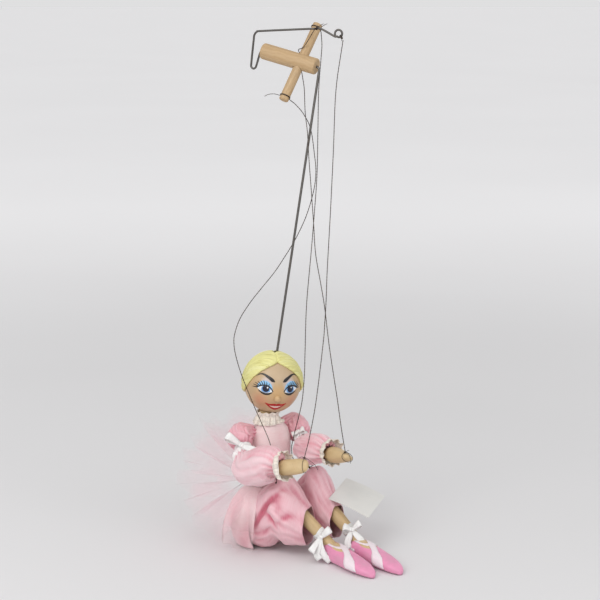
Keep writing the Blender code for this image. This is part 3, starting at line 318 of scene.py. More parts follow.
def flowing(stations, count):
    """Rows of values on a smooth curve through the given stations."""
    columns = [smooth_route([(value, 0, 0) for value in column], count) for column in zip(*stations)]
    return [[point.x for point in row] for row in zip(*columns)]


def ripple(x, y, z=0.0):
    return noise.noise(Vector((x, y, z)))


def oval(half_x, half_y, angle, power=2.0):
    """A point of a superellipse at this angle."""
    c, s = cos(angle), sin(angle)
    reach = (abs(c / half_x) ** power + abs(s / half_y) ** power) ** (-1 / power)
    return reach * c, reach * s


def waist(angle, z, clear):
    """A point round the trunk at a height, clear of it by this much."""
    wide, deep, back = between(TORSO_SECTIONS, z)
    x, y = oval(wide + clear, deep + clear, angle, TORSO_SQUARENESS)
    return Vector((x, y + back, z))


def joint_axis(name):
    return Vector(JOINTS[name]["axis"])


def joint_place(name):
    return Vector(JOINTS[name]["pos_m"])


def arm_frames(side):
    """Frames of the upper arm at the shoulder and of the forearm at the elbow."""
    shoulder, elbow = joint_place(side + "_shoulder"), joint_place(side + "_elbow")
    hinge = joint_axis(side + "_elbow")
    return axes(shoulder, elbow - shoulder, hinge), axes(elbow, FOREARM_AIM[side], hinge)


def picture(right, down, near=0.0):
    """A step of millimetres along the picture's right, down it and out of it towards the camera."""
    aside, level = outward(VIEW_TURN), cos(VIEW_RISE)
    away = Vector((sin(VIEW_TURN) * level, -cos(VIEW_TURN) * level, sin(VIEW_RISE)))
    return (aside * right - away.cross(aside) * down + away * near) * MM


def leg_points(side):
    hip, knee = joint_place(side + "_hip"), joint_place(side + "_knee")
    return hip, knee, knee + SHIN_AIM[side].normalized() * SHIN_LENGTH


def shin_frame(side):
    return axes(joint_place(side + "_knee"), SHIN_AIM[side], joint_axis(side + "_knee"))


def face_frame():
    """The face's frame: X to the figure's left, -Y out of the face, Z to the crown."""
    head = axes(HEAD_CENTRE, HEAD_AXIS, outward(HEAD_TURN))
    return head @ Matrix.Rotation(-FACE_ROLL, 4, "Y")


def head_relief(around, up):
    """How far the carved head stands off its ball, from a shallow brow, cheeks and chin."""
    lift = 0.00030 * exp(-(((abs(around) - 34) / 17) ** 2 + ((up + 30) / 14) ** 2))
    lift += 0.00045 * exp(-((around / 18) ** 2 + ((up + 56) / 10) ** 2))
    lift -= 0.00040 * exp(-(((abs(around) - 25) / 15) ** 2 + ((up + 1) / 10) ** 2))
    return lift


def face_point(around, up, lift=0.0):
    """A point of the head at degrees round from the face and up from its middle."""
    a, u = radians(around), radians(up)
    reach = lift + head_relief((around + 180) % 360 - 180, up)
    r, h = HEAD_RADIUS + reach, HEAD_HALF_HEIGHT + reach
    return face_frame() @ Vector((r * cos(u) * sin(a), -r * cos(u) * cos(a), h * sin(u)))


# Meshes
def quads(tall, wide, closed, base=0):
    """The four corners of each face between rows of points."""
    for i in range(tall - 1):
        for k in range(wide if closed else wide - 1):
            n, low = (k + 1) % wide, base + i * wide
            yield low + k, low + n, low + wide + n, low + wide + k


def shaped(tall, wide, at, closed=False):
    """A patch of tall by wide points: at gives a point and its depth in a fold for shares down and across."""
    last = wide if closed else wide - 1
    cells = [[at(i / (tall - 1), k / last) for k in range(wide)] for i in range(tall)]
    depth = [[clamp(cell[1]) for cell in row] for row in cells]
    return [[cell[0] for cell in row] for row in cells], closed, depth


def grids(name, patches):
    """One mesh object from patches of (rows, closed, depth): depth is how deep in a fold each point lies,
    painted as shade by the cloth finishes.
    """
    verts, faces, flat, deep = [], [], [], []
    for rows, closed, depth in patches:
        tall, wide = len(rows), len(rows[0])
        faces += quads(tall, wide, closed, len(verts))
        verts += [p for row in rows for p in row]
        deep += [d for row in depth for d in row] if depth else [0.0] * (tall * wide)
        step = max(length_of(row) for row in rows) / max(1, wide - 1)
        drop = [0.0]
        for upper, lower in zip(rows, rows[1:]):
            drop.append(drop[-1] + sum((b - a).length for a, b in zip(upper, lower)) / wide)
        for i in range(tall - 1):
            for k in range(wide if closed else wide - 1):
                for column, row in ((k, i), (k + 1, i), (k + 1, i + 1), (k, i + 1)):
                    flat += [column * step, drop[row]]
    mesh = bpy.data.meshes.new(name)
    mesh.from_pydata(verts, [], faces)
    mesh.uv_layers.new(name="cut").data.foreach_set("uv", flat)
    mesh.attributes.new("fold", "FLOAT", "POINT").data.foreach_set("value", deep)
    mesh.shade_smooth()
    made = bpy.data.objects.new(name, mesh)
    bpy.context.scene.collection.objects.link(made)
    return made


def thicken(piece, thickness, offset=0.0):
    shell = piece.modifiers.new("thickness", "SOLIDIFY")
    shell.thickness = thickness
    shell.offset = offset
    return piece


def capped(rings):
    """A patch of a closed form's rings with each end drawn in to a point."""
    ends = []
    for ring in (rings[0], rings[-1]):
        middle = sum(ring, Vector()) / len(ring)
        ends.append([p.lerp(middle, 0.999) for p in ring])
    return [ends[0], *rings, ends[1]], True, None


def tube_rows(path, radius, sides=8, twist=0.0, ply=0.0):
    """Rings of a round thread along a path, with two plies that turn once every twist."""
    rings, side, gone = [], None, 0.0
    for i, point in enumerate(path):
        before = path[max(i - 1, 0)]
        ahead = (path[min(i + 1, len(path) - 1)] - before).normalized()
        side = square_to(side or ahead.orthogonal().normalized(), ahead)
        across = ahead.cross(side)
        gone += (point - before).length
        ring = []
        for n in range(sides):
            angle = TURN * n / sides
            swell = 1 + ply * cos(2 * angle - TURN * gone / twist) if twist else 1
            ring.append(point + (side * cos(angle) + across * sin(angle)) * radius * swell)
        rings.append(ring)
    return rings


def strip_rows(path, across, widths, crown, count=7):
    """A patch of a flat strip along a path, with its width at each point and its middle raised by crown."""
    rows = []
    for i, (point, wide) in enumerate(zip(path, widths)):
        ahead = (path[min(i + 1, len(path) - 1)] - path[max(i - 1, 0)]).normalized()
        side = square_to(across, ahead)
        out = ahead.cross(side)
        shares = [k / (count - 1) * 2 - 1 for k in range(count)]
        rows.append([point + side * wide / 2 * share + out * crown * (1 - share * share) for share in shares])
    return rows, False, None


def ribbon_band(matrix, radius, middle, width, tilt=0.0):
    """A patch of ribbon once round a frame's Z."""

    def at(share, turn):
        angle = TURN * turn
        z = middle + width * (share - 0.5) + tilt * sin(angle)
        return matrix @ Vector((radius * cos(angle), radius * sin(angle), z)), 0.0

    return shaped(5, 40, at, True)


def bow(centre, out, width, loops, tails):
    """Patches of a ribbon bow that stands off along out: loops by their reach and tails by their steps."""
    patches = []
    loops = [picture(*aim) for aim in loops]
    for aim in loops:
        size, along = aim.length, aim.normalized()
        across = out.cross(along).normalized()
        path, widths = [], []
        for i in range(25):
            bulge = sin(pi * i / 24)
            lift = 0.0006 + size * (0.24 * sin(TURN * i / 24) + 0.14 * bulge)
            path.append(centre + along * size * bulge**0.8 + out * lift + across * 0.10 * size * bulge)
            widths.append(width * (0.45 + 0.62 * bulge**0.7))
        patches.append(strip_rows(path, across, widths, 0.0005))
    for steps in tails:
        steps = [picture(*step) for step in steps]
        path = smooth_route([centre + out * 0.0004, *[centre + step for step in steps]], 20)
        widths = [width * (0.5 + 0.42 * min(1.0, 2.2 * i / 19)) for i in range(20)]
        patches.append(strip_rows(path, out.cross(steps[-1]).normalized(), widths, 0.0004))
    along, knot = square_to(loops[0], out), []
    for i in range(13):
        angle = TURN * i / 12
        knot.append(centre + out * (0.0012 + 0.0013 * cos(angle)) + along * 0.0019 * sin(angle))
    return [*patches, strip_rows(knot, out.cross(along), [width * 0.66] * 13, 0.0004)]


def settle(piece, body, finish, replaced=()):
    """Gives a piece its finish and its body, and hides the nodes that it stands for."""
    piece.data.materials.clear()
    piece.data.materials.append(finish)
    if body:
        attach(piece, body)
    if replaced:
        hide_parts(*replaced)
    return piece


def sewn(name, patches, thickness, rests_on):
    """A cloth piece; the longest width and the mean length that its rows were cut to are worked out but not
    used.
    """
    piece = grids(name, patches)
    if thickness:
        thicken(piece, thickness)
    width = length = area = 0.0
    for rows, closed, _ in patches:
        wrap = [[*row, row[0]] if closed else row for row in rows]
        width += max(length_of(row) for row in wrap)
        columns = list(zip(*wrap))
        length = max(length, sum(length_of(column) for column in columns) / len(columns))
        for upper, lower in zip(wrap, wrap[1:]):
            for a, b, c, d in zip(upper, upper[1:], lower[1:], lower):
                area += ((b - a).cross(c - a).length + (c - a).cross(d - a).length) / 2
    width, length = max(width, 0.01), max(length, 0.01)
    return piece


# Shader nodes
def feed(tree, socket, value):
    """Links an input to a socket, or gives it a value."""
    if isinstance(value, bpy.types.NodeSocket):
        tree.links.new(value, socket)
    elif socket.type == "RGBA":
        socket.default_value = (*value[:3], 1.0)
    else:
        socket.default_value = value


def node(tree, kind, settings=None, **inputs):
    """A node with its settings and its inputs, which are given by name or as in0, in1 and so on."""
    made = tree.nodes.new("ShaderNode" + kind)
    for key, value in (settings or {}).items():
        setattr(made, key, value)
    for key, value in inputs.items():
        place = int(key[2:]) if key[:2] == "in" and key[2:].isdigit() else key.replace("_", " ")
        feed(tree, made.inputs[place], value)
    return made


def maths(tree, operation, first, second=0.0):
    return node(tree, "Math", {"operation": operation}, in0=first, in1=second).outputs[0]


def times(tree, first, second):
    return maths(tree, "MULTIPLY", first, second)


def parts_of(tree, vector):
    return node(tree, "SeparateXYZ", None, Vector=vector).outputs


def spread(tree, value, low, high, new_low=0.0, new_high=1.0):
    """A value brought from one range to another and held there."""
    return node(
        tree, "MapRange", {"interpolation_type": "SMOOTHSTEP"}, Value=value, From_Min=low, From_Max=high,
        To_Min=new_low, To_Max=new_high,
    ).outputs[0]


def mixed(tree, share, first, second):
    return node(tree, "Mix", {"data_type": "RGBA"}, in0=share, in6=first, in7=second).outputs[2]


def noise_of(tree, vector, scale, detail=3.0, stretch=None):
    if stretch:
        vector = node(tree, "Mapping", None, Vector=vector, Scale=stretch).outputs[0]
    return node(tree, "TexNoise", None, Vector=vector, Scale=scale, Detail=detail).outputs[0]


def bumped(tree, height, distance, strength=1.0):
    return node(tree, "Bump", None, Height=height, Distance=distance, Strength=strength).outputs[0]


def new_group(name, inputs, outputs):
    """An empty node group, its inputs to read and the node to fill: a default says what kind an input is."""
    tree = bpy.data.node_groups.new(name, "ShaderNodeTree")
    for label, default in inputs.items():
        kind = "Vector" if default is None else "Float" if isinstance(default, float) else "Color"
        socket = tree.interface.new_socket(label, in_out="INPUT", socket_type="NodeSocket" + kind)
        if default is not None:
            socket.default_value = default
    for label in outputs:
        kind = "Color" if label == "Color" else "Float"
        tree.interface.new_socket(label, in_out="OUTPUT", socket_type="NodeSocket" + kind)
    return tree, tree.nodes.new("NodeGroupInput").outputs, tree.nodes.new("NodeGroupOutput")


def plain_weave():
    """Threads over and under each other on the cut's own flat metres."""
    tree, given, made = new_group("plain_weave", {"Vector": None, "Threads": 2600.0}, ("Height", "Tone"))
    parts = parts_of(tree, given["Vector"])
    pace = times(tree, given["Threads"], pi)
    crossing = times(tree, *[maths(tree, "SINE", times(tree, parts[k], pace)) for k in (0, 1)])
    slub = noise_of(tree, given["Vector"], 900.0, 2.0, (0.12, 1.0, 1.0))
    height = maths(tree, "ADD", crossing, times(tree, slub, 1.5))
    fill(tree, made, Height=height, Tone=spread(tree, slub, 0.3, 0.7))
    return tree


def cloth_folds():
    """A cloth's colour with painted shade: darker in the folds, paler on the crests, with a slow drift across
    the cut.
    """
    tree, given, made = new_group(
        "cloth_folds", {"Vector": None, "Cloth": WHITE, "Deep": WHITE, "Tone": 0.5}, ("Color", "Depth"),
    )
    depth = node(tree, "Attribute", {"attribute_name": "fold"}).outputs["Fac"]
    drift = noise_of(tree, given["Vector"], 90.0, 3.0)
    depth = maths(tree, "ADD", depth, times(tree, maths(tree, "SUBTRACT", drift, 0.5), 0.35))
    share = spread(tree, depth, 0.0, 1.0)
    # Painted shade: the deeper a point lies in a fold, the nearer its colour comes to the fold-shade colour.
    colour = mixed(tree, share, given["Cloth"], given["Deep"])
    fill(tree, made, Color=mixed(tree, times(tree, given["Tone"], 0.10), colour, WHITE), Depth=share)
    return tree


def turned_grain():
    """Long grain along Z with growth rings across it and fine dark pores."""
    tree, given, made = new_group(
        "turned_grain", {"Vector": None, "Pale": WHITE, "Dark": WHITE, "Figure": 1.0},
        ("Color", "Height", "Roughness"),
    )
    drift = noise_of(tree, given["Vector"], 160.0, 4.0, (1.0, 1.0, 0.12))
    rings = node(
        tree, "TexWave", {"wave_type": "BANDS", "bands_direction": "X"}, Vector=given["Vector"], Scale=95.0,
        Distortion=5.0, Detail=2.0, Detail_Scale=0.8,
    ).outputs[1]
    fleck = spread(tree, noise_of(tree, given["Vector"], 1500.0, 2.0, (1.0, 1.0, 0.05)), 0.58, 0.72)
    share = maths(tree, "ADD", times(tree, rings, 0.30), times(tree, drift, 0.55))
    share = times(tree, maths(tree, "ADD", share, times(tree, fleck, 0.35)), given["Figure"])
    fill(
        tree, made, Color=mixed(tree, share, given["Pale"], given["Dark"]),
        Height=maths(tree, "SUBTRACT", rings, times(tree, fleck, 1.6)),
        Roughness=spread(tree, drift, 0.2, 0.8, 0.46, 0.66),
    )
    return tree


def handling_marks():
    """Where hands and shelves have greyed or rubbed a surface."""
    tree, given, made = new_group("handling_marks", {"Vector": None, "Scale": 60.0}, ("Mask", "Specks"))
    broad = noise_of(tree, given["Vector"], given["Scale"], 5.0)
    fine = noise_of(tree, given["Vector"], times(tree, given["Scale"], 14.0), 2.0)
    fill(tree, made, Mask=spread(tree, broad, 0.48, 0.75), Specks=spread(tree, fine, 0.64, 0.74))
    return tree


def brushed_paint():
    """Long soft brush marks in paint, along X."""
    tree, given, made = new_group("brushed_paint", {"Vector": None}, ("Height", "Tone"))
    strokes = noise_of(tree, given["Vector"], 700.0, 3.0, (0.12, 1.0, 1.0))
    pools = noise_of(tree, given["Vector"], 110.0, 2.0)
    height = maths(tree, "ADD", strokes, times(tree, pools, 0.6))
    fill(tree, made, Height=height, Tone=spread(tree, pools, 0.3, 0.7))
    return tree


def net_mesh():
    """Threads round the cells of a fine net: 1 on a thread and 0 in a hole."""
    tree, given, made = new_group("net_mesh", {"Vector": None, "Cells": 700.0, "Thread": 0.12}, ("Mask",))
    cells = node(
        tree, "TexVoronoi", {"feature": "DISTANCE_TO_EDGE"}, Vector=given["Vector"], Scale=given["Cells"],
        Randomness=0.35,
    ).outputs[0]
    edge = node(tree, "MapRange", None, Value=cells, From_Min=given["Thread"], From_Max=0.0)
    fill(tree, made, Mask=edge.outputs[0])
    return tree


GROUPS = {
    maker.__name__: maker
    for maker in (plain_weave, cloth_folds, turned_grain, handling_marks, brushed_paint, net_mesh)
}


def shared(tree, name, **inputs):
    """Places one of the shared effects in a material, building it the first time."""
    made = node(tree, "Group", {"node_tree": bpy.data.node_groups.get(name) or GROUPS[name]()})
    fill(tree, made, **inputs)
    return made.outputs


def finish(name, recipe, **values):
    """A material made once by its recipe, which fills the Principled shader's sockets."""
    found = bpy.data.materials.get(name)
    if found is None:
        found = bpy.data.materials.new(name)
        found.use_nodes = True
        recipe(found.node_tree, found.node_tree.nodes["Principled BSDF"], **values)
    return found


def fill(tree, shader, **inputs):
    for key, value in inputs.items():
        feed(tree, shader.inputs[key.replace("_", " ")], value)


def cut_map(tree):
    return node(tree, "UVMap", {"uv_map": "cut"}).outputs[0]


def place_map(tree, matrix=None):
    """Coordinates in a frame of the figure, in metres."""
    spot = node(tree, "TexCoord").outputs["Object"]
    if matrix is None:
        return spot
    return node(
        tree, "Mapping", {"vector_type": "TEXTURE"}, Vector=spot, Location=matrix.to_translation(),
        Rotation=matrix.to_euler(),
    ).outputs[0]


def woven(tree, shader, cloth, deep, threads, rough, sheen, relief=0.00003, hem=None):
    """Sewn cloth: weave, painted shade in the folds and a soft sheen, thinner down the cut between the two
    distances of a hem.
    """
    flat = cut_map(tree)
    weave = shared(tree, "plain_weave", Vector=flat, Threads=threads)
    folds = shared(tree, "cloth_folds", Vector=flat, Cloth=cloth, Deep=deep, Tone=weave["Tone"])
    crease = noise_of(tree, flat, 320.0, 4.0)
    height = maths(tree, "ADD", weave["Height"], times(tree, crease, 5.0))
    fill(
        tree, shader, Base_Color=folds["Color"], Roughness=spread(tree, crease, 0.3, 0.7, rough, rough + 0.15),
        Normal=bumped(tree, height, relief), Sheen_Weight=sheen, Sheen_Roughness=0.4,
    )
    if hem:
        down = parts_of(tree, flat)[1]
        fill(tree, shader, Alpha=spread(tree, down, *hem, 1.0, 0.14))


def sheer(tree, shader, colour, body, thread):
    """Net: clear cells between fine threads."""
    flat = cut_map(tree)
    mesh = shared(tree, "net_mesh", Vector=flat, Cells=620.0, Thread=0.16)
    drift = noise_of(tree, flat, 45.0, 3.0)
    ground = spread(tree, drift, 0.3, 0.7, body * 0.7, body * 1.3)
    cover = maths(tree, "ADD", times(tree, mesh["Mask"], thread), ground)
    hang = parts_of(tree, flat)[1]
    fade = times(tree, spread(tree, hang, 0.004, 0.040, 0.05, 1.0), spread(tree, hang, 0.074, 0.050))
    cover = times(tree, cover, fade)
    shade = node(tree, "LightPath").outputs["Is Shadow Ray"]
    cover = times(tree, cover, maths(tree, "SUBTRACT", 1.0, times(tree, shade, 0.97)))
    rosy = mixed(tree, spread(tree, drift, 0.35, 0.65), colour, (1.0, 0.62, 0.70))
    fill(
        tree, shader, Base_Color=rosy, Alpha=cover,
        Roughness=spread(tree, drift, 0.3, 0.7, 0.65, 0.85), Normal=bumped(tree, mesh["Mask"], 0.00008),
        Sheen_Weight=0.8, Sheen_Tint=(1.0, 0.80, 0.85, 1.0),
    )


def laced(tree, shader, colour):
    """Lace: a net ground with thick worked flowers and a solid worked edge."""
    flat = cut_map(tree)
    ground = shared(tree, "net_mesh", Vector=flat, Cells=900.0, Thread=0.30)
    motif = node(
        tree, "TexVoronoi", {"feature": "F1"}, Vector=flat, Scale=230.0, Randomness=0.25,
    ).outputs[0]
    flower = spread(tree, motif, 0.46, 0.40)
    worked = maths(tree, "MAXIMUM", ground["Mask"], flower)
    edge = node(tree, "Attribute", {"attribute_name": "fold"}).outputs["Fac"]
    solid = maths(tree, "MAXIMUM", worked, spread(tree, edge, 0.80, 0.88))
    tone = noise_of(tree, flat, 300.0, 3.0)
    cream = mixed(tree, spread(tree, tone, 0.35, 0.7, 0.0, 0.6), colour, (0.80, 0.72, 0.63))
    fill(
        tree, shader, Base_Color=cream,
        Alpha=spread(tree, solid, 0.15, 0.55, 0.72, 1.0), Roughness=spread(tree, tone, 0.3, 0.7, 0.72, 0.9),
        Normal=bumped(tree, solid, 0.00022), Sheen_Weight=0.25,
    )


def wooden(tree, shader, pale, matrix, figure, varnish):
    """Turned or carved wood with its grain along the frame's Z."""
    spot = place_map(tree, matrix)
    dark = tuple(value * shade for value, shade in zip(pale, (0.70, 0.60, 0.48)))
    grain = shared(tree, "turned_grain", Vector=spot, Pale=pale, Dark=dark, Figure=figure)
    marks = shared(tree, "handling_marks", Vector=spot, Scale=75.0)
    greyed = mixed(tree, times(tree, marks["Mask"], 0.22), grain["Color"], (0.42, 0.33, 0.22))
    fill(
        tree, shader, Base_Color=mixed(tree, times(tree, marks["Specks"], 0.35), greyed, (0.25, 0.17, 0.10)),
        Roughness=grain["Roughness"], Normal=bumped(tree, grain["Height"], 0.00006), Coat_Weight=varnish,
        Coat_Roughness=0.3,
    )


def drawn_steel(tree, shader, colour):
    """Dull wire with draw marks and a little rust brown."""
    spot = place_map(tree)
    marks = shared(tree, "handling_marks", Vector=spot, Scale=120.0)
    lines = noise_of(tree, spot, 1200.0, 3.0, (1.0, 1.0, 0.06))
    tarnish = mixed(tree, times(tree, marks["Mask"], 0.45), colour, (0.11, 0.085, 0.065))
    fill(
        tree, shader, Base_Color=tarnish, Metallic=spread(tree, marks["Mask"], 0.0, 1.0, 0.95, 0.6),
        Roughness=spread(tree, lines, 0.3, 0.7, 0.30, 0.48), Normal=bumped(tree, lines, 0.00004),
    )


def twisted_thread(tree, shader, colour):
    """Two-ply thread with stray fibres."""
    spot = place_map(tree)
    fibre = noise_of(tree, spot, 4200.0, 4.0)
    tone = noise_of(tree, spot, 300.0, 3.0)
    fill(
        tree, shader, Base_Color=mixed(tree, spread(tree, tone, 0.35, 0.65), colour, (0.10, 0.075, 0.06)),
        Roughness=spread(tree, fibre, 0.3, 0.7, 0.7, 0.95), Normal=bumped(tree, fibre, 0.00012),
        Specular_IOR_Level=0.2,
    )


def painted(tree, shader, colour, gloss, deep=0.82):
    """Hand-brushed paint with slight pooling and rubbed spots."""
    spot = place_map(tree)
    paint = shared(tree, "brushed_paint", Vector=spot)
    marks = shared(tree, "handling_marks", Vector=spot, Scale=90.0)
    pooled = tuple(value * deep for value in colour)
    tone = mixed(tree, paint["Tone"], colour, pooled)
    worn = mixed(tree, times(tree, marks["Specks"], 0.25), tone, (0.55, 0.48, 0.40))
    fill(
        tree, shader, Base_Color=worn, Roughness=spread(tree, marks["Mask"], 0.0, 1.0, gloss, gloss + 0.2),
        Normal=bumped(tree, paint["Height"], 0.00005),
    )


def pressed_card(tree, shader, colour):
    """White card with fibres and greyed patches."""
    spot = place_map(tree)
    fibre = noise_of(tree, spot, 2600.0, 4.0)
    marks = shared(tree, "handling_marks", Vector=spot, Scale=45.0)
    shade = mixed(tree, times(tree, marks["Mask"], 0.30), colour, (0.64, 0.64, 0.62))
    fill(
        tree, shader, Base_Color=mixed(tree, times(tree, fibre, 0.12), shade, (0.55, 0.54, 0.50)),
        Roughness=spread(tree, fibre, 0.3, 0.7, 0.55, 0.75), Normal=bumped(tree, fibre, 0.00003),
    )


# deep is the colour painted into the cloth's folds as shade.
def cloth_finish(name, cloth, deep, threads, rough, sheen, hem=None):
    return finish(name, woven, cloth=cloth, deep=deep, threads=threads, rough=rough, sheen=sheen, hem=hem)


def thread_finish():
    return finish("twisted_thread", twisted_thread, colour=tint("thread"))


def satin_finish():
    return cloth_finish("pink_satin_cloth", tint("satin"), tint("satin_fold_shade"), 3200.0, 0.38, 0.35)


def nylon_finish():
    # Painted shade in the nylon's folds: halfway between the nylon and the satin's fold shade.
    deep = blended("nylon", "satin_fold_shade", 0.5)
    return cloth_finish("pale_nylon_cloth", tint("nylon"), deep, 2600.0, 0.5, 0.3)


def ribbon_finish():
    # Painted shade in the ribbon's folds: the white a fifth darker.
    deep = [v * 0.80 for v in tint("ribbon")]
    return cloth_finish("white_ribbon_weave", tint("ribbon"), deep, 4200.0, 0.34, 0.25)


def lace_finish():
    return finish("cotton_lace", laced, colour=tint("lace"))


def paint_finish(name, screen, gloss=0.4, deep=0.82):
    return finish(name, painted, colour=srgb(*screen), gloss=gloss, deep=deep)


# Operators
class StageOperator(bpy.types.Operator):
    """Camera at the photograph's angle, paper floor and soft studio light"""

    bl_idname = "marionette.stage"
    bl_label = "Studio"

    def execute(self, context):
        stage = context.scene.marionette_stage
        target, distance = Vector(stage.target), stage.distance
        flat = cos(stage.elevation)
        back = Vector(
            (sin(stage.azimuth) * flat, -cos(stage.azimuth) * flat, sin(stage.elevation))
        )
        view = bpy.data.cameras.new("camera")
        view.sensor_width = 36.0
        view.lens = view.sensor_width / 2 * distance / stage.half_view
        camera = bpy.data.objects.new("camera", view)
        camera.location = target + back * distance
        camera.rotation_euler = (-back).to_track_quat("-Z", "Y").to_euler()
        context.scene.collection.objects.link(camera)
        context.scene.camera = camera

        away = Vector((-back.x, -back.y, 0)).normalized()
        aside = away.cross(UP)
        self.paper(target, away, stage)
        self.lamps(context, target, away, aside)
        context.scene.view_settings.view_transform = "Standard"
        return {"FINISHED"}

    def paper(self, target, away, stage):
        """A wide disc of floor whose far part shows as pale as the floor near the figure."""
        middle, rings = Vector((target.x, target.y, -0.0003)), []
        for radius in (0.05, 0.2, 0.5, 1.0, 2.0, 5.0, 15.0, 60.0):
            turns = [TURN * k / 64 for k in range(64)]
            rings.append([middle + Vector((radius * cos(a), radius * sin(a), 0)) for a in turns])
        rings.insert(0, [p.lerp(middle, 0.99) for p in rings[0]])
        floor = grids("paper_floor", [(rings, True, None)])
        spot = axes(target, UP, away)
        floor.data.materials.append(finish("floor_paper", self.backdrop, colour=tuple(stage.floor), spot=spot))

    @staticmethod
    def backdrop(tree, shader, colour, spot):
        """Pale paper, kept as pale for the camera where the lamps no longer reach it."""
        spot = place_map(tree, spot)
        tone = noise_of(tree, spot, 1.3, 2.0)
        reach = node(tree, "VectorMath", {"operation": "LENGTH"}, in0=spot).outputs["Value"]
        seen = node(tree, "LightPath").outputs["Is Camera Ray"]
        far = times(tree, spread(tree, reach, 0.25, 2.6), seen)
        paper = mixed(tree, spread(tree, tone, 0.3, 0.7), colour, [v * 0.97 for v in colour])
        glow = mixed(tree, far, (0, 0, 0), (0.30, 0.30, 0.305))
        fill(
            tree, shader, Base_Color=paper, Roughness=0.9, Specular_IOR_Level=0.1, Emission_Color=glow,
            Emission_Strength=1.0,
        )

    @staticmethod
    def lamps(context, target, away, aside):
        """A large key lamp from the left of the camera, a fill from its right and an even sky."""
        for name, side, toward, height, size, power in (
            ("key_lamp", -0.9, 1.5, 1.2, 1.5, 20.5),
            ("fill_lamp", 1.2, 1.4, 0.8, 1.6, 8.5),
            ("back_lamp", 0.2, -0.1, 2.2, 1.4, 4.0),
        ):
            light = bpy.data.lights.new(name, "AREA")
            light.size = size
            light.energy = power
            lamp = bpy.data.objects.new(name, light)
            lamp.location = target + aside * side - away * toward + UP * height
            lamp.rotation_euler = (target - lamp.location).to_track_quat("-Z", "Y").to_euler()
            context.scene.collection.objects.link(lamp)
        world = bpy.data.worlds.new("studio")
        world.use_nodes = True
        tree = world.node_tree
        sky = tree.nodes["Background"]
        sky.inputs["Color"].default_value = (1.0, 1.0, 1.0, 1.0)
        sky.inputs["Strength"].default_value = 0.55
        rays = node(tree, "LightPath").outputs
        seen = maths(tree, "MAXIMUM", rays["Is Camera Ray"], rays["Is Glossy Ray"])
        seen = maths(tree, "MAXIMUM", seen, rays["Is Transmission Ray"])
        pale = node(tree, "Background", None, Color=(0.74, 0.74, 0.745, 1.0), Strength=1.0)
        both = node(tree, "MixShader", None, in0=seen, in1=sky.outputs[0], in2=pale.outputs[0])
        tree.links.new(both.outputs[0], tree.nodes["World Output"].inputs["Surface"])
        context.scene.world = world


class StringsOperator(bpy.types.Operator):
    """Four two-ply strings between the control and the hands and knees"""

    bl_idname = "marionette.strings"
    bl_label = "Strings"

    def execute(self, context):
        for name, route in ROUTES.items():
            line = evenly(smooth_route([Vector(p) * MM for p in route], 500), THREAD_STEP)
            split = min(range(len(line)), key=lambda i: abs(line[i].z - STRING_SPLIT_HEIGHT) + 0.2 * (i < 20))
            give = split
            top = self.stretch(name, "_top", line[: split + 1], None)
            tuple(line[split])
            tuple(line[0])
            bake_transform(top)
            if "knee" in name:
                give = min(range(len(line)), key=lambda i: abs(line[i].z - KNEE_STRING_GIVE))
                self.stretch(name, "_middle", line[split : give + 1], "trunk")
            self.slacken(self.stretch(name, "_line", line[give:], "trunk"), name, line[give:])
        return {"FINISHED"}

    @staticmethod
    def stretch(name, part, path, body):
        """One stretch of a string, tied to the given body if there is one: its middle hangs beside the head."""
        thick = measure("string_diameter")
        rows = tube_rows(path, thick / 2 * 0.92, 8, measure("string_twist"), THREAD_PLY)
        piece = settle(grids(name + part, [capped(rows)]), body, thread_finish(), (name,))
        length_of(path)
        return piece

    def slacken(self, piece, name, path):
        """Works out the joint that lifts a string's last stretch and where its end then goes, and gives the
        stretch its own mesh.
        """
        driver, moved = self.lifted(name.split("_")[0], "hand" in name, path[-1])
        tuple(path[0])
        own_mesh(piece)

    @staticmethod
    def lifted(side, hand, point):
        """The joint that lifts a string's end, and where the end is at that joint's limit."""
        moved = Vector(point)
        joints = (side + "_elbow", side + "_shoulder") if hand else (side + "_hip",)
        for joint in joints:
            pivot = joint_place(joint)
            turn = Quaternion(joint_axis(joint), radians(JOINTS[joint]["range_deg"][1]))
            moved = pivot + turn @ (moved - pivot)
        return joints[-1], moved


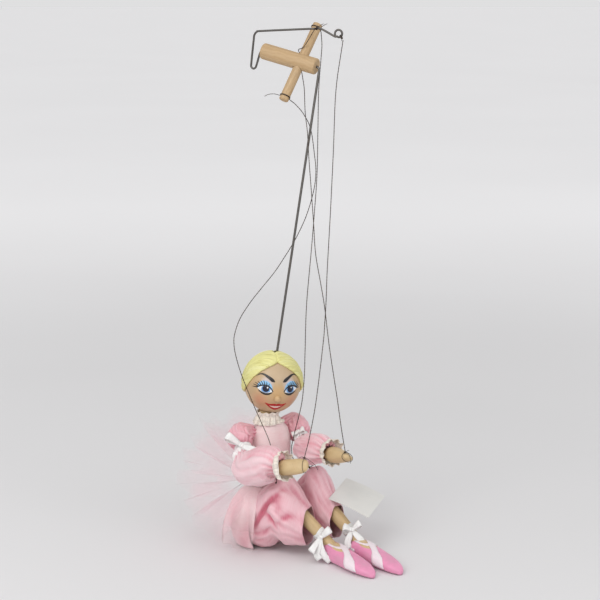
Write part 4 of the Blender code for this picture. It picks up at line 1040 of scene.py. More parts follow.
class KnotsOperator(bpy.types.Operator):
    """Thread turns, knots and cut tails where the strings are tied"""

    bl_idname = "marionette.knots"
    bl_label = "Knots"

    def execute(self, context):
        reach = 0.0368
        for name, sign, begin, tail in (
            ("near_bar_knot", -1, (-4.6, 2.0, 1.0), ((-4, 3, 1.4), (-8.5, 6.4, 1.0), (-11.5, 8.8, -0.8))),
            ("far_bar_knot", 1, (3.0, -4.2, 1.0), ((1.5, -3, 2), (2.5, -5.5, 3))),
        ):
            ring = axes(BAR_CENTRE + BAR_AIM * reach * sign, BAR_AIM, (1, 0, 0))
            self.tie(name, "control", ring, BAR_RADIUS, [(begin, tail)])
        wire = axes(Vector((49.55, -10.32, 493.71)) * MM, (0.4394, -0.8969, 0.0495), (-0.898, -0.440, 0))
        ends = [((0, 0, 0), ((2, -3, 2.5), (5, -5, 4.5))), ((0, 0, 0), ((3, -3, -1), (5, -6, -1.6)))]
        self.tie("wire_knot", "wire_frame", wire, WIRE_RADIUS, ends)
        eye = axes(Vector((61.13, -31.89, 486.59)) * MM, (-0.727, 0.357, -0.45), (0.253, -0.5164, -0.8181))
        ends = [((0, 0, 0), ((-1, -1, -1), (-2, -2, -2.4)))]
        self.tie("eye_knot", "wire_frame", eye, WIRE_RADIUS + 0.0002, ends)
        for side in SIDES:
            self.hand_loop(side)
            self.knee_knot(side)
        return {"FINISHED"}

    @staticmethod
    def overhand(centre, size, thread):
        """A patch of a pulled-up overhand knot, as one closed thread."""
        path = []
        for i in range(61):
            t = TURN * i / 60
            turn = (sin(t) + 2 * sin(2 * t), cos(t) - 2 * cos(2 * t), -1.4 * sin(3 * t))
            path.append(centre + Vector(turn) * size)
        return tube_rows(path, thread, 6), True, None

    @staticmethod
    def tail(start, steps, thread):
        """A patch of a cut end that steps off in millimetres from its start."""
        points = [start, *[start + Vector(step) * MM for step in steps]]
        path = evenly(smooth_route(points, 40), THREAD_STEP)
        return capped(tube_rows(path, thread * 0.9, 6, measure("string_twist"), THREAD_PLY))

    def tie(self, name, body, ring, radius, tails):
        """Two turns of thread round a bar or wire, knotted on its X side."""
        thread = 0.0003
        out, path = radius + thread * 1.1, []
        for i in range(73):
            angle = 2 * TURN * i / 72
            path.append(ring @ Vector((cos(angle) * out, sin(angle) * out, thread * 2.1 * (i / 36 - 1))))
        centre = ring @ Vector((radius + thread * 2.4, 0, 0))
        patches = [capped(tube_rows(path, thread, 6)), self.overhand(centre, 0.00033, thread)]
        for begin, steps in tails:
            start = ring.to_translation() + Vector(begin) * MM if any(begin) else centre
            patches.append(self.tail(start, steps, thread))
        settle(grids(name + "_thread", patches), body, thread_finish(), (name,))

    def hand_loop(self, side):
        """The loop round the fingertips, its knot on top and its cut ends."""
        thread = 0.00022
        _, fore = arm_frames(side)
        loop = [oval(*HAND_LOOP_HALF[side], TURN * i / 48) for i in range(49)]
        path = [fore @ Vector((x, y, FOREARM_LENGTH - HAND_LOOP_SETBACK)) for x, y in loop]
        top = Vector(ROUTES[side + "_hand_string"][-1]) * MM
        tails = {
            "right": (
                ((-2.5, 1, 1.0), (-4.5, 2, 0.2)), ((3.2, -2.6, -2.2), (7.4, -6.2, -7.0), (9.4, -8.2, -11.5)),
            ),
            "left": (
                ((1.6, -2.6, -1), (2.4, -4.6, -6), (2.2, -5.4, -10.5)), ((1.6, -1.4, 1), (2.6, -2.6, 1.6)),
            ),
        }[side]
        patches = [(tube_rows(path, thread, 6), True, None), self.overhand(top - UP * 0.0004, 0.00042, thread)]
        patches += [self.tail(top, steps, thread) for steps in tails]
        name = side + "_hand_knot"
        settle(grids(name + "_thread", patches), side + "_hand", thread_finish(), (name,))

    def knee_knot(self, side):
        """The knot that holds a knee string to the bloomer's cloth."""
        top, thread = Vector(ROUTES[side + "_knee_string"][-1]) * MM, 0.0004
        patches = [
            self.overhand(top - UP * 0.0012, 0.00040, thread),
            self.tail(top - UP * 0.001, ((2, -1, 0.8), (4, -2, 1.8)), thread),
        ]
        name = side + "_knee_knot"
        settle(grids(name + "_thread", patches), side + "_upper_leg", thread_finish(), (name,))


class ControlOperator(bpy.types.Operator):
    """Bare beech control, drawn steel wire and rod"""

    bl_idname = "marionette.control"
    bl_label = "Control"

    def execute(self, context):
        frames = {
            "handle": axes(HANDLE_FRONT, HANDLE_AIM, BAR_AIM),
            "cross_bar": axes(BAR_CENTRE, BAR_AIM, HANDLE_AIM),
        }
        for name, matrix in frames.items():
            wood = finish("beech_" + name, wooden, pale=tint("beech"), matrix=matrix, figure=0.75, varnish=0.05)
            dress_node(name, wood, 0.0006)
        steel = finish("drawn_steel_wire", drawn_steel, colour=tint("steel"))
        pins = [side + pin for side in SIDES for pin in ("_elbow_pin", "_knee_pin")]
        for name in ("head_rod", "shoulder_wire", "hip_wire", *pins):
            dress_node(name, steel, 0.0)
        path = evenly(smooth_route([Vector(p) * MM for p in HAND_WIRE_ROUTE], 400), 0.0007)
        wire = grids("bent_wire", [capped(tube_rows(path, WIRE_RADIUS, 14))])
        settle(wire, "wire_frame", steel, ("hand_wire",))
        return {"FINISHED"}


def dress_node(name, material, edge):
    """A kept node's finish, with its sharp edges eased."""
    piece = NODES[name]
    piece.data.materials.clear()
    piece.data.materials.append(material)
    weld = piece.modifiers.new("weld", "WELD")
    weld.merge_threshold = 0.00001
    if edge:
        bevel = piece.modifiers.new("eased_edge", "BEVEL")
        bevel.width = edge
        bevel.segments = 2
        bevel.limit_method = "ANGLE"
        bevel.angle_limit = radians(40)
    smooth = piece.modifiers.new("smooth_faces", "WEIGHTED_NORMAL")
    smooth.keep_sharp = True


class LimbsOperator(bpy.types.Operator):
    """Varnished wooden trunk, arms and legs, with smooth hands and shins"""

    bl_idname = "marionette.limbs"
    bl_label = "Limbs"

    def execute(self, context):
        pale, level = tint("limb"), Matrix.Identity(4)
        trunk = finish("limb_trunk", wooden, pale=pale, matrix=level, figure=0.5, varnish=0.15)
        dress_node("torso_block", trunk, 0.0)
        for side in SIDES:
            upper, fore = arm_frames(side)
            hip, knee, _ = leg_points(side)
            thigh, shin = axes(hip, knee - hip, joint_axis(side + "_knee")), shin_frame(side)
            finishes = {}
            for part, matrix in (("upper_arm", upper), ("forearm", fore), ("thigh", thigh), ("shin", shin)):
                finishes[part] = finish(
                    "limb_" + side + "_" + part, wooden, pale=pale, matrix=matrix, figure=0.5, varnish=0.2
                )
            for part in ("upper_arm", "thigh"):
                dress_node(side + "_" + part, finishes[part], 0.0)
            self.carve(side + "_forearm", self.forearm(side), fore, side + "_hand", finishes["forearm"])
            self.carve(side + "_shin", self.shin(), shin, side + "_lower_leg", finishes["shin"])
        return {"FINISHED"}

    @staticmethod
    def tongue(thickness, radius, reach):
        flat = thickness / 2
        return [
            (-radius * 0.85, flat, radius * 0.4), (-radius * 0.5, flat, radius * 0.75), (0, flat, radius * 0.9),
            (reach * 0.55, flat, radius * 0.92), (reach, radius * 0.95, radius * 0.97),
        ]

    def forearm(self, side):
        """Sections of a forearm that swells into a mitten hand."""
        f, w, length = FOREARM_RADIUS, HAND_HALF_WIDTH, FOREARM_LENGTH
        hand = [
            (length - 0.028, w * 0.95, w * 0.95), (length - 0.019, w * 0.98, w),
            (length - 0.008, w * 0.62, w * 0.95), (length - 0.002, w * 0.36, w * 0.72),
            (length, w * 0.18, w * 0.40),
        ]
        if side == "left":
            hand = [(z, y, x) for z, x, y in hand]
        return self.tongue(0.0038, f, 0.0100) + [(0.020, f, f), (0.0335, f, f)] + hand

    def shin(self):
        s, a, length = SHIN_RADIUS, ANKLE_RADIUS, SHIN_LENGTH
        ends = [(length - 0.030, s, s), (length - 0.012, a * 1.05, a * 1.05), (length, a, a)]
        return self.tongue(0.0056, s, 0.0130) + ends

    @staticmethod
    def carve(name, sections, matrix, body, material):
        """A limb from its sections, with slight knife marks."""
        rings = flowing(sections, 72)

        def at(share, turn):
            z, half_x, half_y = rings[round(share * 71)]
            x, y = oval(max(half_x, 0.0004), max(half_y, 0.0004), TURN * turn, 2.2)
            knife = 1 + 0.010 * ripple(x * 300, y * 300, z * 160)
            return matrix @ Vector((x * knife, y * knife, z)), 0.0

        piece = grids(name + "_wood", [capped(shaped(72, 32, at, True)[0])])
        settle(piece, body, material, (name,))


class HeadOperator(bpy.types.Operator):
    """Carved and painted head with its nose"""

    bl_idname = "marionette.head"
    bl_label = "Head"

    def execute(self, context):
        skin = finish("face_skin", self.skin, colour=tint("skin"))
        hole = degrees(asin(0.0017 / HEAD_RADIUS))
        heights = [90 - hole - (180 - 2 * hole) * i / 80 for i in range(81)]
        rows = [[face_point(360 * k / 120 - 180, up) for k in range(120)] for up in heights]
        settle(grids("painted_head", [capped(rows)]), "head", skin, ("head_ball",))

        nose_up, wide, tall, out = -21.0, 7.2, 7.0, 0.0034

        def nose(reach, turn):
            angle = TURN * turn
            lift = out * sqrt(max(0.0, 1 - reach**2.4)) - 0.0002
            up = nose_up - 1.8 * (1 - reach) + tall * reach * sin(angle)
            return face_point(wide * reach * cos(angle), up, lift), 0.0

        settle(grids("nose_button", [shaped(19, 40, nose, True)]), "head", skin, ("nose_bead",))
        return {"FINISHED"}

    @staticmethod
    def skin(tree, shader, colour):
        """Tan paint: greyer on the brow, warmer on the nose, with brushed blush and lid shadow."""
        spot = place_map(tree, face_frame())
        paint = shared(tree, "brushed_paint", Vector=spot)
        marks = shared(tree, "handling_marks", Vector=spot, Scale=70.0)

        def near(point, inner, outer, strength):
            gap = node(tree, "VectorMath", {"operation": "DISTANCE"}, in0=spot, in1=point).outputs["Value"]
            return spread(tree, gap, inner, outer, strength, 0.0)

        base = mixed(tree, times(tree, paint["Tone"], 0.5), colour, [v * 0.86 for v in colour])
        r = HEAD_RADIUS
        base = mixed(tree, near((0, -r * 0.78, r * 0.62), 0.006, 0.024, 0.55), base, srgb(192, 172, 146))
        base = mixed(tree, near((0, -r * 0.97, -r * 0.15), 0.001, 0.012, 0.5), base, srgb(208, 164, 104))
        for sign in (-1, 1):
            blush = near((sign * r * 0.58, -r * 0.72, -r * 0.48), 0.001, 0.0120, 0.60)
            base = mixed(tree, blush, base, srgb(205, 134, 104))
            lid = near((sign * r * 0.40, -r * 0.90, r * 0.17), 0.002, 0.0085, 0.8)
            base = mixed(tree, lid, base, srgb(203, 193, 198))
        worn = mixed(tree, times(tree, marks["Mask"], 0.15), base, srgb(170, 140, 104))
        fill(
            tree, shader, Base_Color=worn, Roughness=spread(tree, paint["Tone"], 0.0, 1.0, 0.36, 0.5),
            Normal=bumped(tree, paint["Height"], 0.00004), Coat_Weight=0.15, Coat_Roughness=0.35,
        )


class FaceOperator(bpy.types.Operator):
    """Painted brows, eyes, lashes and mouth"""

    bl_idname = "marionette.face"
    bl_label = "Face"

    def execute(self, context):
        layers = (
            ("lid_shadow", (148, 200, 240), 0.00004, self.shadows()),
            ("eye_white", (240, 244, 248), 0.00007, self.whites()),
            ("iris_blue", (126, 176, 232), 0.00010, self.discs(10.0, -0.4)),
            ("iris_dark", (14, 16, 44), 0.00013, self.discs(7.4, 0.9)),
            ("face_lines", (26, 22, 24), 0.00016, self.lines()),
            ("eye_glint", (248, 250, 252), 0.00020, self.glints()),
            ("lip_red", (190, 34, 32), 0.00008, self.lips()),
            ("mouth_white", (242, 222, 208), 0.00006, self.mouth()),
        )
        for name, screen, lift, shapes in layers:
            patches = []
            for rows in shapes:
                patches.append(([[face_point(a, u, lift) for a, u in row] for row in rows], False, None))
            piece = grids("paint_" + name, patches)
            thicken(piece, 0.00005, -1.0)
            settle(piece, "head", paint_finish("paint_" + name, screen, 0.32, 0.9))
        return {"FINISHED"}

    @staticmethod
    def stroke(points, widths, count=18):
        """A brush stroke through face points, in degrees, as wide at each as given."""
        line = smooth_route([(a, u, w) for (a, u), w in zip(points, widths)], count)
        rows = []
        for i, p in enumerate(line):
            step = line[min(i + 1, count - 1)] - line[max(i - 1, 0)]
            size = hypot(step.x, step.y) or 1.0
            x, y = -step.y / size * p.z / 2, step.x / size * p.z / 2
            rows.append([(p.x + x * k, p.y + y * k) for k in (-1, -0.4, 0.4, 1)])
        return rows

    @staticmethod
    def filled(upper, lower, count=24):
        """A shape between an upper and a lower line of face points, in degrees."""
        top = smooth_route([(a, u, 0) for a, u in upper], count)
        low = smooth_route([(a, u, 0) for a, u in lower], count)
        return [
            [(t.x + (b.x - t.x) * k / 6, t.y + (b.y - t.y) * k / 6) for k in range(7)] for t, b in zip(top, low)
        ]

    @staticmethod
    def mirrored(shape, sign):
        shift = 2.6 if sign > 0 else -0.4
        return [[(a * sign + shift, u) for a, u in row] for row in shape]

    def both(self, shapes):
        return [self.mirrored(shape, sign) for sign in (-1, 1) for shape in shapes]

    def shadows(self):
        upper = ((10.4, -3.0), (14.5, 7.4), (24, 13.2), (35, 12.4), (44, 5.0))
        lower = ((11.0, -6.5), (16, -1.0), (24, 3.0), (34, 2.0), (43, -3.0))
        return self.both([self.filled(upper, lower)])

    def whites(self):
        upper = ((10.6, -6.6), (16, 0.3), (24, 4.4), (34, 3.2), (43, -1.6))
        lower = ((10.6, -6.8), (16, -8.8), (24, -10.2), (34, -8.0), (43, -2.0))
        return self.both([self.filled(upper, lower)])

    def discs(self, radius, shift):
        """The iris on each side, cut off by the upper lid."""
        upper, lower = [], []
        for i in range(13):
            angle = pi * i / 12
            across = 25.0 - radius * 0.98 * cos(angle)
            middle, rise, gap = shift - 2.6, radius * 0.86 * sin(angle), (across - 25) ** 2
            upper.append((across, min(middle + rise, 4.3 - 0.028 * gap)))
            lower.append((across, max(middle - rise, -9.3 + 0.03 * gap)))
        return self.both([self.filled(upper, lower)])

    def glints(self):
        shapes, turns = [], [pi * i / 8 for i in range(9)]
        for middle, height, radius in ((-21.8, 0.6, 1.6), (29.6, 1.2, 1.3)):
            upper = [(middle - radius * cos(a), height + radius * sin(a)) for a in turns]
            lower = [(across, 2 * height - up) for across, up in upper]
            shapes.append(self.filled(upper, lower, 14))
        return shapes

    def lines(self):
        """Brows, lid lines and lashes of one side, and their mirror."""
        shapes = [
            self.stroke(points, widths)
            for points, widths in (
                (
                    ((7.2, 12.4), (12, 15.2), (20, 20.0), (31, 25.0), (40, 25.6), (50, 21.0)),
                    (2.0, 6.4, 5.6, 3.8, 2.2, 0.7),
                ),
                (((9.8, -7.2), (15, 0.2), (24, 4.8), (34, 3.9), (45.5, -0.6)), (2.0, 2.6, 2.4, 2.6, 1.6)),
                (((11.5, -8.6), (19, -11.6), (27, -11.9), (34, -9.4), (41, -5.4)), (1.4, 3.6, 3.8, 2.8, 0.8)),
            )
        ]
        upper = (
            (19, 3.0, -0.6, 5.6), (23, 4.6, 1.2, 7.2), (27, 5.0, 3.6, 8.2), (31, 4.8, 6.4, 8.0),
            (35, 4.0, 9.0, 7.0), (38.5, 2.8, 11.5, 5.2), (41.5, 1.4, 13.0, 2.6), (43.5, -0.2, 12.5, -0.4),
        )
        lower = ((28.5, -10.6, 1.0, -2.4), (32.5, -9.2, 2.2, -2.4), (36.5, -6.8, 3.6, -1.8))
        both_lids = ((upper, 0.62, (2.1, 1.6, 0.6), 9), (lower, 0.5, (1.5, 1.0, 0.3), 7))
        for lashes, bend, widths, count in both_lids:
            for a, u, da, du in lashes:
                points = ((a, u), (a + da * 0.5, u + du * bend), (a + da, u + du))
                shapes.append(self.stroke(points, widths, count))
        return self.both(shapes)

    def lips(self):
        return [
            self.stroke(((-27.5, -31.4), (-16, -36.0), (-5, -36.2), (0, -37.6)), (1.4, 4.6, 6.4, 5.2)),
            self.stroke(((25.5, -32.2), (15, -36.2), (5, -36.2), (0, -37.6)), (1.4, 4.6, 6.4, 5.2)),
            self.stroke(
                ((-27.0, -31.6), (-17, -41.2), (-7, -46.8), (0, -48.2), (7, -46.8), (16, -41.2), (25.0, -32.4)),
                (1.4, 4.2, 5.6, 5.8, 5.6, 4.2, 1.4), 40,
            ),
        ]

    def mouth(self):
        upper = ((-20, -35.0), (-10, -37.0), (0, -38.2), (10, -37.0), (20, -35.0))
        lower = ((-20, -36.6), (-10, -43.2), (0, -45.4), (10, -43.2), (20, -36.6))
        return [self.filled(upper, lower, 30)]


class HairOperator(bpy.types.Operator):
    """Moulded hair, combed from a centre parting"""

    bl_idname = "marionette.hair"
    bl_label = "Hair"

    HAIRLINE = ((0, 37.5), (25, 50), (40, 59.5), (55, 73), (70, 91), (90, 106), (130, 116), (180, 118))

    def execute(self, context):
        strands, columns, last = measure("hair_strands"), 288, 72
        outer, inner = [], []
        for i in range(last + 1):
            share, places = i / last, []
            for k in range(columns):
                around = 360 * k / columns - 180
                edge = between(self.HAIRLINE, abs(around))[0] + 0.7 * ripple(around * 0.11, 3.0)
                places.append((around, 4.5 + (edge - 4.5) * share))
            depths = [self.depth(a, polar, share, strands) for a, polar in places]
            outer.append([face_point(a, 90 - polar, depth) for (a, polar), depth in zip(places, depths)])
            inner.append([face_point(a, 90 - polar, 0.0003) for a, polar in places])
        brim = [[a.lerp(b, t) for a, b in zip(outer[-1], inner[-1])] for t in (0.35, 0.7)]
        hair = finish("combed_hair", self.paint, colour=tint("hair"), strands=strands)
        piece = grids("combed_hair", [([*outer, *brim, *reversed(inner)], True, None)])
        settle(piece, "head", hair, ("hair_cap",))
        return {"FINISHED"}

    @staticmethod
    def comb(around, polar):
        """Which strand a point lies on, and how far it is from the parting."""
        a, p = radians(around), radians(polar)
        x, y, z = sin(p) * sin(a), -sin(p) * cos(a), cos(p)
        lateral = asin(clamp(x, -1.0))
        return atan2(y, z) - 0.55 * abs(lateral), lateral

    def depth(self, around, polar, share, strands):
        line, lateral = self.comb(around, polar)
        ridge = ripple(line * strands / 6.0, lateral, 5.0)
        ridge += 0.35 * ripple(line * strands / 2.2, lateral * 1.6, 9.0)
        parting = exp(-((lateral / 0.035) ** 2)) * (1 if abs(around) < 90 else exp(-((polar / 40) ** 2)))
        lift = 0.0026 + 0.00095 * ridge - 0.0009 * parting
        return lift * (0.35 + 0.65 * min(1.0, (1 - share) * 14 + 0.12) ** 0.5)

    @staticmethod
    def paint(tree, shader, colour, strands):
        """Pale yellow with darker combed lines."""
        spot = place_map(tree, face_frame())
        parts = parts_of(tree, spot)
        angle = maths(tree, "ARCTAN2", parts[1], parts[2])
        sweep = times(tree, maths(tree, "ABSOLUTE", parts[0]), -0.55 / HEAD_RADIUS)
        line = maths(tree, "ADD", angle, sweep)
        along = node(tree, "CombineXYZ", None, X=line, Y=times(tree, parts[0], 3.0)).outputs[0]
        fine = noise_of(tree, along, strands * 0.42, 2.0)
        coarse = noise_of(tree, along, strands * 0.16, 2.0)
        marks = shared(tree, "handling_marks", Vector=spot, Scale=55.0)
        dark = [v * s for v, s in zip(colour, (0.62, 0.57, 0.36))]
        tone = mixed(tree, spread(tree, fine, 0.50, 0.72, 0.0, 0.65), colour, dark)
        tone = mixed(tree, spread(tree, coarse, 0.5, 0.7, 0.0, 0.45), tone, srgb(240, 237, 184))
        fill(
            tree, shader, Base_Color=mixed(tree, times(tree, marks["Mask"], 0.16), tone, srgb(196, 186, 112)),
            Roughness=spread(tree, fine, 0.3, 0.7, 0.42, 0.6), Normal=bumped(tree, fine, 0.00012),
        )


class BodiceOperator(bpy.types.Operator):
    """Fitted nylon bodice with its armholes, and the bloomers' seat below it"""

    bl_idname = "marionette.bodice"
    bl_label = "Bodice"

    def execute(self, context):
        self.bodice()
        self.seat()
        return {"FINISHED"}

    def bodice(self):
        """The bodice, with its waist drawn in."""
        bottom, top = 0.058, 0.1206

        def at(share, turn):
            angle = TURN * turn
            gather = exp(-share * 9) * 0.5 * sin(31 * angle + 2 * ripple(angle * 3, 1.0))
            drape = ripple(cos(angle) * 2.1 + 4, sin(angle) * 2.1, share * 3.2)
            pull = 0.5 * ripple(cos(angle) * 5, sin(angle) * 5 + 2, share * 7)
            fold = 0.00055 * gather + 0.00042 * drape + 0.00022 * pull
            return waist(angle, bottom + (top - bottom) * share, 0.0013 + max(fold, -0.0008)), 0.15 - 700 * fold

        piece = sewn("bodice_cloth", [shaped(61, 144, at, True)], measure("cloth"), "torso_block")
        self.armholes(piece)
        settle(piece, "trunk", nylon_finish(), ("bodice",))

    @staticmethod
    def armholes(piece):
        """Cuts a round armhole on each side, and keeps the result as the mesh."""
        cutters = []
        for side, sign in SIDES.items():
            shoulder = joint_place(side + "_shoulder")
            ring = axes((sign * 0.0172, shoulder.y, shoulder.z - 0.0010), (sign, 0, 0), (0, 1, 0))
            turns = [outward(TURN * n / 40) * 0.0056 for n in range(40)]
            rows = [[ring @ (way + UP * reach) for way in turns] for reach in (0.0, 0.03)]
            cutter = grids("armhole_cutter", [capped(rows)])
            cutter.hide_render = True
            cut = piece.modifiers.new("armhole", "BOOLEAN")
            cut.operation = "DIFFERENCE"
            cut.object = cutter
            cutters.append(cutter)
        depsgraph = bpy.context.evaluated_depsgraph_get()
        made = bpy.data.meshes.new_from_object(piece.evaluated_get(depsgraph))
        piece.modifiers.clear()
        piece.data = made
        for cutter in cutters:
            bpy.data.objects.remove(cutter)

    @staticmethod
    def seat():
        """The seat round the back of the hips, and a panel in front of them."""
        top, front = 0.0560, -0.0080
        wide, deep, back = between(TORSO_SECTIONS, top)
        rings = flowing((
            (0.0620, wide + 0.0002, deep + 0.0002), (top, wide + 0.0009, deep + 0.0009),
            (0.0500, 0.0260, 0.0200), (0.0400, 0.0370, 0.0240), (0.0250, 0.0390, 0.0255),
            (0.0120, 0.0375, 0.0250), (0.0016, 0.0330, 0.0226),
        ), 44)

        def behind(share, turn):
            z, half_x, half_y = rings[round(share * 43)]
            edge = asin(clamp((front - back) / half_y, -0.99, 0.0))
            angle = edge + (pi - 2 * edge) * turn
            x, y = oval(half_x, half_y, angle, TORSO_SQUARENESS)
            gather = sin(26 * angle + 3 * ripple(angle * 2, 7.0)) * exp(-share * 5) * min(1.0, share * 9)
            drape = sin(9 * angle + 2 * ripple(angle, share * 2, 3.0)) * sin(pi * share)
            fold = 1 + 0.030 * gather + 0.028 * drape + 0.018 * ripple(angle * 4, share * 6)
            return Vector((x * fold, y * fold + back, z)), 0.4 - 14 * (fold - 1)

        def lap(share, turn):
            z, angle = 0.0600 - 0.0590 * share, radians(240 + 74 * turn)
            fold = 0.0004 * sin(17 * angle + 2 * ripple(angle * 3, z * 60))
            # The front panel starts deeper in the fold than the seat, so it is painted with more shade.
            return waist(angle, z, 0.0016 + fold), 0.55 - 700 * fold

        patches = [shaped(44, 121, behind), shaped(40, 61, lap)]
        piece = sewn("bloomer_seat_cloth", patches, measure("cloth"), "torso_block")
        settle(piece, "trunk", satin_finish(), ("bloomer_seat",))


def ruffle(ring, flutes, depth, seed, rows=16):
    """A patch of a gathered lace frill: ring gives a point and the way out at a share and an angle."""

    def at(share, turn):
        angle = TURN * turn
        point, out = ring(share, angle)
        wave = sin(flutes * angle + 1.6 * ripple(cos(angle) * 2 + seed, sin(angle) * 2, seed))
        shade = 1.0 if share > 0.93 else 0.245 * (1 - wave)
        return point + out * (depth * share**0.8 * wave), shade

    return shaped(rows + 1, flutes * 24, at, True)


class LaceOperator(bpy.types.Operator):
    """Gathered lace at the neck and wrists"""

    bl_idname = "marionette.lace"
    bl_label = "Lace"

    def execute(self, context):
        self.collar()
        for side in SIDES:
            self.cuff(side)
        return {"FINISHED"}

    @staticmethod
    def make(name, patches, body, replaced, rests_on):
        piece = sewn(name, patches, measure("lace"), rests_on)
        settle(piece, body, lace_finish(), (replaced,))

    def collar(self):
        """Two falling frills on the bodice and one that stands round the neck."""
        top, bottom = 0.1304, 0.1204
        lean = HEAD_AXIS.normalized()

        def neck(z):
            return ROD_FOOT + lean * ((z - ROD_FOOT.z) / lean.z)

        def falling(reach):
            def at(share, angle):
                z, way = top + (bottom - top) * share, outward(angle)
                point = neck(z) + way * (NECK_RADIUS + 0.0010 + reach * share**0.8)
                bodice = waist(atan2(point.y, point.x), min(z, 0.1206), 0.0022)
                if point.xy.length < bodice.xy.length and z < 0.1225:
                    point = Vector((bodice.x, bodice.y, z))
                return point, way + UP * 0.25
            return at

        def standing(share, angle):
            way = outward(angle)
            point = neck(0.1266 + 0.0057 * share) + way * (NECK_RADIUS + 0.0014 + 0.0018 * share)
            return point, way * 0.8 - UP * 0.4

        frills = ((falling(0.0022), 0.0012, 1.0), (falling(0.0032), 0.0016, 4.0), (standing, 0.0010, 7.0))
        patches = [ruffle(at, measure("collar_flutes"), depth, seed) for at, depth, seed in frills]
        self.make("lace_collar_frill", patches, "trunk", "lace_collar", "bodice_cloth")

    def cuff(self, side):
        """The frill that opens at a wrist."""
        _, fore = arm_frames(side)
        turn = fore.to_3x3()
        inner, raised, wide = FOREARM_RADIUS + 0.0027, 0.0017, {"right": 0.0054, "left": 0.0044}[side]

        def ring(share, angle):
            way = outward(angle)
            reach = inner + wide * sin(pi / 2 * min(1.0, 1.7 * share)) ** 0.8
            height = 0.0318 + 0.0094 * share + 0.0010 * share * sin(3 * angle + 1)
            point = fore @ Vector((way.x * reach, way.y * reach, height)) + UP * raised
            return point, turn @ Vector((way.x, way.y, 0.5))

        frill = ruffle(ring, measure("cuff_flutes"), 0.0013, SIDES[side] + 3.0, 14)
        self.make(side + "_cuff_frill", [frill], side + "_hand", side + "_lace_cuff", side + "_forearm_wood")


